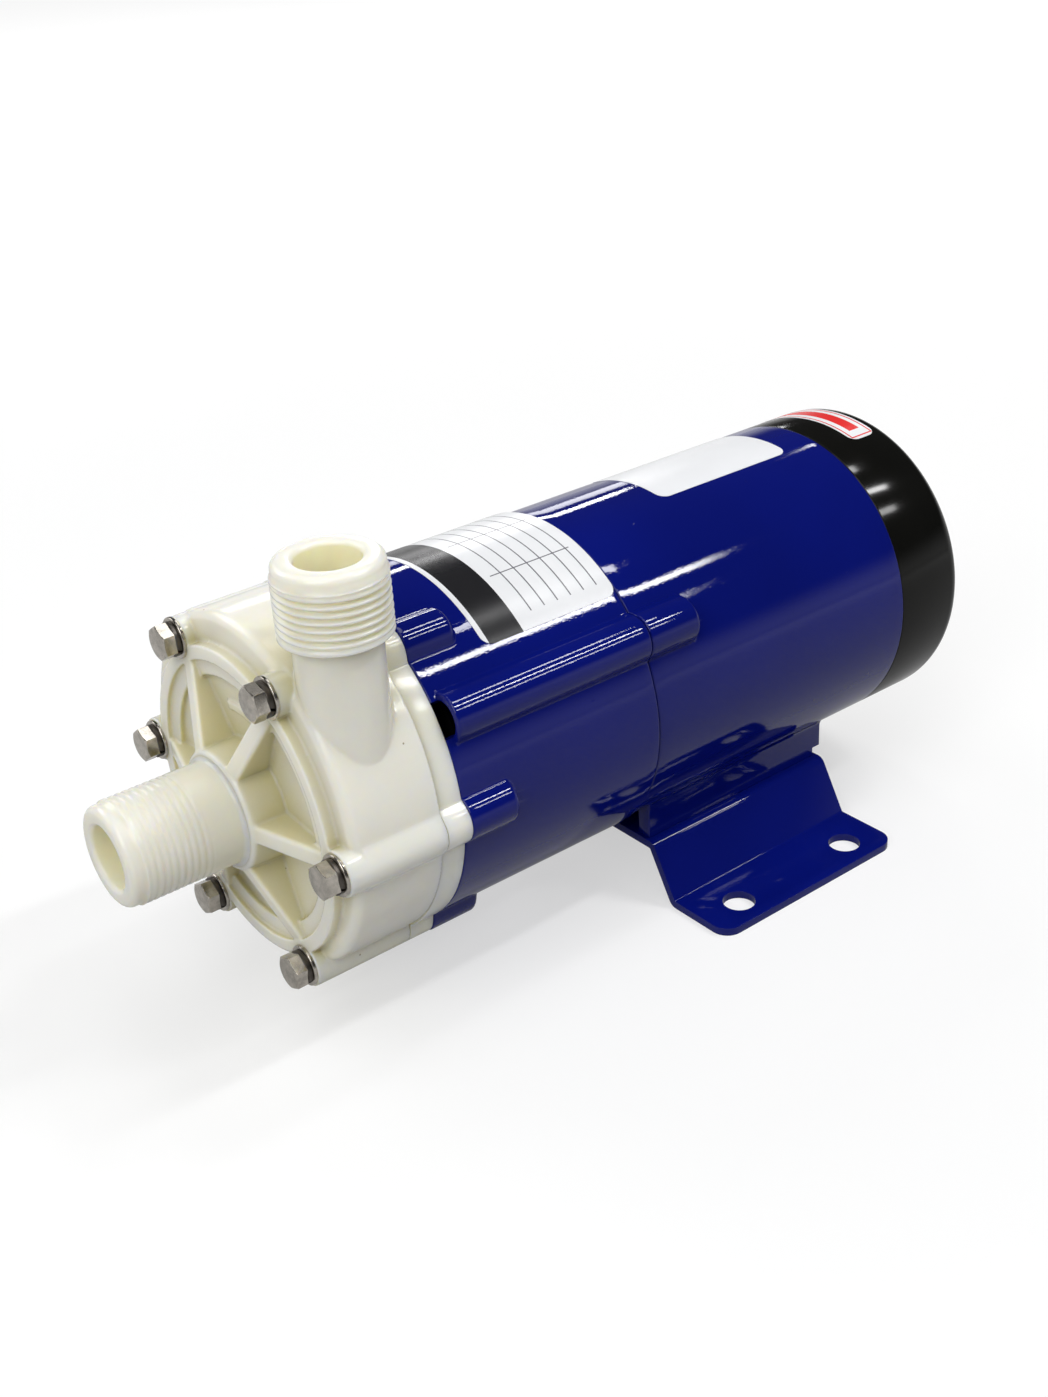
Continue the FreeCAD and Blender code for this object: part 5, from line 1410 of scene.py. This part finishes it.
def sticker(name, start, size, near, far, radius, stickers, material):
    """A film wrapped round the shaft, with rounded corners and its own flat coordinates."""
    width = (near - far) * radius
    corner = min(stickers.corner, size * 0.28)
    rows, columns = max(int(size / MM), 8), int(width / MM)
    free()
    bpy.ops.mesh.primitive_grid_add(x_subdivisions=rows, y_subdivisions=columns, size=1)
    piece = named(name)
    mesh = piece.data
    layer = mesh.uv_layers.new(name="flat")
    flat = []
    for vertex in mesh.vertices:
        along, across = vertex.co.x * size, vertex.co.y * width
        over = abs(along) - (size / 2 - corner)
        beside = abs(across) - (width / 2 - corner)
        if over > 0 and beside > 0:
            over, beside = rounded(over, beside, corner)
            along = math.copysign(size / 2 - corner + over, along)
            across = math.copysign(width / 2 - corner + beside, across)
        flat.append((0.5 - across / width, 0.5 + along / size))
        turn = (near + far) / 2 + across / radius
        vertex.co = ON_SHAFT @ on_lathe(start + size / 2 + along, turn,
                                        radius + stickers.thickness)
    for loop in mesh.loops:
        layer.data[loop.index].uv = flat[loop.vertex_index]
    edit(piece)
    bpy.ops.mesh.select_all(action="SELECT")
    bpy.ops.mesh.normals_make_consistent(inside=False)
    free()
    outward = mesh.polygons[0].normal.dot(mesh.polygons[0].center - Vector((start, 0, SHAFT_Z)))
    modify(piece, "SOLIDIFY", thickness=stickers.thickness * 0.9, offset=-math.copysign(1, outward))
    dress(piece, material, "blue_paint", crease=50)


class PUMP_OT_stickers(bpy.types.Operator):
    """Models the three stickers: a ruled blank plate, a bare one and one with a red bar"""

    bl_idname = "pump.stickers"
    bl_label = "Stickers"

    def execute(self, context):
        stickers = context.scene.pump_stickers
        castings = context.scene.pump_castings
        sticker("bracket_sticker", BRACKET + stickers.plate_start, stickers.plate_length,
                stickers.plate_near, stickers.plate_far, castings.bracket_radius, stickers,
                FINISH["ruled"])
        sticker("motor_sticker", MOTOR + stickers.motor_start, stickers.motor_length,
                stickers.motor_near, stickers.motor_far, castings.motor_radius, stickers,
                FINISH["film"])
        sticker("cap_sticker", MOTOR_END + stickers.cap_start, stickers.cap_length,
                stickers.cap_near, stickers.cap_far, castings.motor_radius, stickers,
                FINISH["barred"])
        return {"FINISHED"}


# Finishes for the pieces that stay as constructed

TURNED = (1, 0.05, 0.05)
EVEN_GRAIN = (1, 1, 1)

# Slot: name, colour, how metallic, how rough, fineness and direction of the marks
INNER_FINISHES = {
    "filled_plastic": ("filled_plastic", (0.03, 0.03, 0.033), 0, 0.5, 300, EVEN_GRAIN),
    "ceramic": ("ceramic", (0.82, 0.80, 0.74), 0, 0.18, 200, EVEN_GRAIN),
    "rubber_black": ("rubber", (0.015, 0.015, 0.015), 0, 0.7, 500, EVEN_GRAIN),
    "steel": ("turned_steel", (0.42, 0.42, 0.43), 1, 0.3, 900, TURNED),
    "lamination": ("laminations", (0.16, 0.16, 0.17), 1, 0.45, 1800, TURNED),
    "magnet": ("magnet", (0.05, 0.05, 0.055), 0.4, 0.45, 350, EVEN_GRAIN),
    "copper": ("enamelled_copper", (0.62, 0.24, 0.09), 1, 0.3, 1200, TURNED),
    "bare_aluminium": ("bare_casting", (0.62, 0.62, 0.63), 1, 0.42, 260, EVEN_GRAIN),
}


class PUMP_OT_finishes(bpy.types.Operator):
    """Mixes the finishes and gives each inner piece its own"""

    bl_idname = "pump.finishes"
    bl_label = "Finishes"

    def execute(self, context):
        finishes = context.scene.pump_finishes
        FINISH.update({
            # Both ivories mix painted shade into their hollows, each with its own tint.
            "ivory": moulded_ivory("moulded_ivory", finishes, finishes.ivory_painted_shade),
            "spout": moulded_ivory("spout_ivory", finishes, finishes.spout_painted_shade),
            "blue": blue_enamel(finishes),
            "black": gloss_black(finishes),
            "steel": stainless(finishes),
            "spring": worked_metal("spring_steel", tuple(finishes.spring), 1, 0.4, 500, EVEN_GRAIN),
            "film": white_film("bare_film", finishes).material,
            "ruled": ruled_film(finishes),
            "barred": barred_film(finishes),
        })
        by_slot = {
            "casing_plastic": FINISH["ivory"],
            "stainless": FINISH["steel"],
            "blue_paint": FINISH["blue"],
            "black_cover": FINISH["black"],
        }
        for slot, (name, *marks) in INNER_FINISHES.items():
            by_slot[slot] = worked_metal(name, *marks)
        slots = {part["node"]: part["material_slot"] for part in frame["record"]["subparts"]}
        for node, piece in frame["nodes"].items():
            piece.data.materials.clear()
            piece.data.materials.append(by_slot[slots[node]])
        return {"FINISHED"}


# The studio

def turned_to(place, across, up, back):
    """A place in the studio, turned to three directions of its own."""
    return Matrix.Translation(place) @ Matrix((across, up, back)).transposed().to_4x4()


class PUMP_OT_stage(bpy.types.Operator):
    """Sets up the floor, the lamps and the camera"""

    bl_idname = "pump.stage"
    bl_label = "Stage"

    # Name, place, width and length, power. The glossy barrel mirrors the window and the tubes as
    # bands along it, and the bolts mirror the cross tube. The panels are soft light over the head.
    lamps = (
        ("ceiling_lamp", (0.88, -0.80, 1.60), (0.76, 0.10), 10.5),
        ("far_window", (0.85, 1.55, 0.50), (0.60, 0.22), 1.6),
        ("near_tube", (1.18, -1.40, 1.50), (0.50, 0.14), 4.8),
        ("middle_tube", (0.82, -0.20, 1.60), (0.34, 0.14), 3.4),
        ("far_tube", (1.15, 1.65, 0.95), (0.40, 0.12), 3.0),
        ("cap_lamp", (1.83, 1.04, 1.60), (0.08, 0.08), 0.5),
        ("cross_tube", (0.45, 0.30, 1.50), (0.25, 1.00), 2.4),
        ("top_panel", (-0.40, -0.35, 1.80), (1.00, 1.20), 8.0),
        ("front_panel", (-1.35, -0.65, 1.20), (1.20, 1.00), 16.5),
        ("back_panel", (-0.70, 1.60, 1.20), (1.20, 1.00), 11.0),
    )

    def execute(self, context):
        studio = context.scene.pump_studio
        self.floor(studio)
        self.sky(context.scene, studio)
        for name, place, size, power in self.lamps:
            self.lamp(name, Vector(place), size, power)
        self.camera(context.scene, studio)
        return {"FINISHED"}

    def floor(self, studio):
        """A pale floor that fades to white for the eye. It is mirrored darker near the pump."""
        free()
        bpy.ops.mesh.primitive_grid_add(x_subdivisions=8, y_subdivisions=8, size=40)
        floor = named("studio_floor")
        recipe = Recipe("studio_floor")
        level = (studio.floor,) * 3
        recipe.link(recipe.ramp(recipe.noise(3, 2), (0.3, tint(level, 0.99)), (0.7, level)),
                    recipe.shader, "Base Color")
        recipe.set(Roughness=0.9, Specular_IOR_Level=0.1, Emission_Color=(1, 1, 1, 1))
        seen = recipe.add("LightPath")
        direct = recipe.reckon("MAXIMUM", seen.outputs["Is Camera Ray"],
                               seen.outputs["Is Transmission Ray"])
        away = recipe.add("VectorMath", operation="LENGTH")
        recipe.link(recipe.place(), away, 0)
        middle_level = 0.85
        shown = self.fade(recipe, away, 0.3, 1.5, 0.55, middle_level)
        mirrored = self.fade(recipe, away, 0.3, 1.5, 0.15, 0.6)
        near = recipe.reckon("MAXIMUM", product(recipe, direct, shown),
                             product(recipe, seen.outputs["Is Glossy Ray"], mirrored))
        far = self.fade(recipe, away, 3.0, 12.0, 1.0, studio.horizon / middle_level)
        recipe.link(product(recipe, near, far), recipe.shader, "Emission Strength")
        floor.data.materials.append(recipe.material)

    def fade(self, recipe, away, start, end, first, last):
        """A level that changes smoothly between two distances from the pump."""
        node = recipe.add("MapRange", interpolation_type="SMOOTHSTEP")
        for socket, value in (("From Min", start), ("From Max", end), ("To Min", first),
                              ("To Max", last)):
            node.inputs[socket].default_value = value
        recipe.link(away.outputs["Value"], node, "Value")
        return node.outputs["Result"]

    def sky(self, scene, studio):
        """A dim ceiling over a bright horizon. What looks at it directly sees a pale backdrop."""
        world = bpy.data.worlds.new("studio_sky")
        world.use_nodes = True
        nodes, links = world.node_tree.nodes, world.node_tree.links
        split = nodes.new("ShaderNodeSeparateXYZ")
        links.new(nodes.new("ShaderNodeTexCoord").outputs["Generated"], split.inputs["Vector"])
        rise = nodes.new("ShaderNodeMapRange")
        rise.interpolation_type = "SMOOTHSTEP"
        for socket, value in (("From Min", 0.0), ("From Max", 0.24),
                              ("To Min", studio.horizon), ("To Max", studio.sky)):
            rise.inputs[socket].default_value = value
        links.new(split.outputs["Z"], rise.inputs["Value"])
        seen = nodes.new("ShaderNodeLightPath")
        direct = nodes.new("ShaderNodeMath")
        direct.operation = "MAXIMUM"
        links.new(seen.outputs["Is Camera Ray"], direct.inputs[0])
        links.new(seen.outputs["Is Transmission Ray"], direct.inputs[1])
        level = nodes.new("ShaderNodeMix")
        level.inputs[3].default_value = studio.backdrop
        links.new(direct.outputs["Value"], level.inputs[0])
        links.new(rise.outputs["Result"], level.inputs[2])
        links.new(level.outputs[0], nodes["Background"].inputs["Strength"])
        nodes["Background"].inputs["Color"].default_value = (1, 1, 1, 1)
        scene.world = world
        scene.view_settings.view_transform = "Standard"

    def lamp(self, name, place, size, power):
        """A rectangular lamp that is aimed at the middle of the pump."""
        free()
        bpy.ops.object.light_add(type="AREA", location=place)
        lamp = bpy.context.object
        lamp.name = name
        lamp.data.shape = "RECTANGLE"
        lamp.data.size, lamp.data.size_y = size
        lamp.data.energy = power
        back = (place - Vector((0, 0, SHAFT_Z))).normalized()
        across = (Vector((1, 0, 0)) - back * back.x).normalized()
        lamp.matrix_world = turned_to(place, across, back.cross(across), back)

    def camera(self, scene, studio):
        azimuth, elevation, roll = studio.azimuth, studio.elevation, studio.roll
        back = Vector((math.sin(azimuth) * math.cos(elevation),
                       -math.cos(azimuth) * math.cos(elevation), math.sin(elevation)))
        level = Vector((math.cos(azimuth), math.sin(azimuth), 0))
        upright = back.cross(level)
        right = math.cos(roll) * level + math.sin(roll) * upright
        up = math.cos(roll) * upright - math.sin(roll) * level
        free()
        bpy.ops.object.camera_add(location=studio.viewpoint)
        camera = bpy.context.object
        camera.name = "studio_camera"
        camera.matrix_world = turned_to(camera.location, right, up, back)
        camera.data.lens = studio.lens
        camera.data.sensor_width = 36
        camera.data.clip_start = 0.01
        scene.camera = camera


class PUMP_PT_pieces(bpy.types.Panel):
    """Lists the pieces of the pump in the order in which they are made"""

    bl_label = "Magnetic drive pump"
    bl_space_type = "VIEW_3D"
    bl_region_type = "UI"
    bl_category = "Pump"

    def draw(self, context):
        for operator in OPERATORS:
            self.layout.operator(operator.bl_idname)
        for group, name in GROUPS:
            box = self.layout.box()
            box.label(text=group.__doc__)
            for field in group.__annotations__:
                box.prop(getattr(context.scene, name), field)


GROUPS = (
    (HeadSizes, "pump_head"),
    (ThreadSizes, "pump_thread"),
    (CastingSizes, "pump_castings"),
    (FootSizes, "pump_foot"),
    (CoverSizes, "pump_cover"),
    (BoltSizes, "pump_bolts"),
    (StickerSizes, "pump_stickers"),
    (Finishes, "pump_finishes"),
    (Studio, "pump_studio"),
)

OPERATORS = (
    PUMP_OT_stage,
    PUMP_OT_finishes,
    PUMP_OT_casing,
    PUMP_OT_spouts,
    PUMP_OT_rear_casing,
    PUMP_OT_bolts,
    PUMP_OT_bracket,
    PUMP_OT_motor,
    PUMP_OT_foot,
    PUMP_OT_cap,
    PUMP_OT_screws,
    PUMP_OT_gland,
    PUMP_OT_stickers,
)


def register():
    for group, name in GROUPS:
        bpy.utils.register_class(group)
        setattr(bpy.types.Scene, name, bpy.props.PointerProperty(type=group))
    for operator in OPERATORS:
        bpy.utils.register_class(operator)
    bpy.utils.register_class(PUMP_PT_pieces)


def unregister():
    bpy.utils.unregister_class(PUMP_PT_pieces)
    for operator in reversed(OPERATORS):
        bpy.utils.unregister_class(operator)
    for group, name in reversed(GROUPS):
        delattr(bpy.types.Scene, name)
        bpy.utils.unregister_class(group)


def main():
    register()
    for operator in OPERATORS:
        family, step = operator.bl_idname.split(".")
        getattr(getattr(bpy.ops, family), step)()


if __name__ == "__main__":
    main()
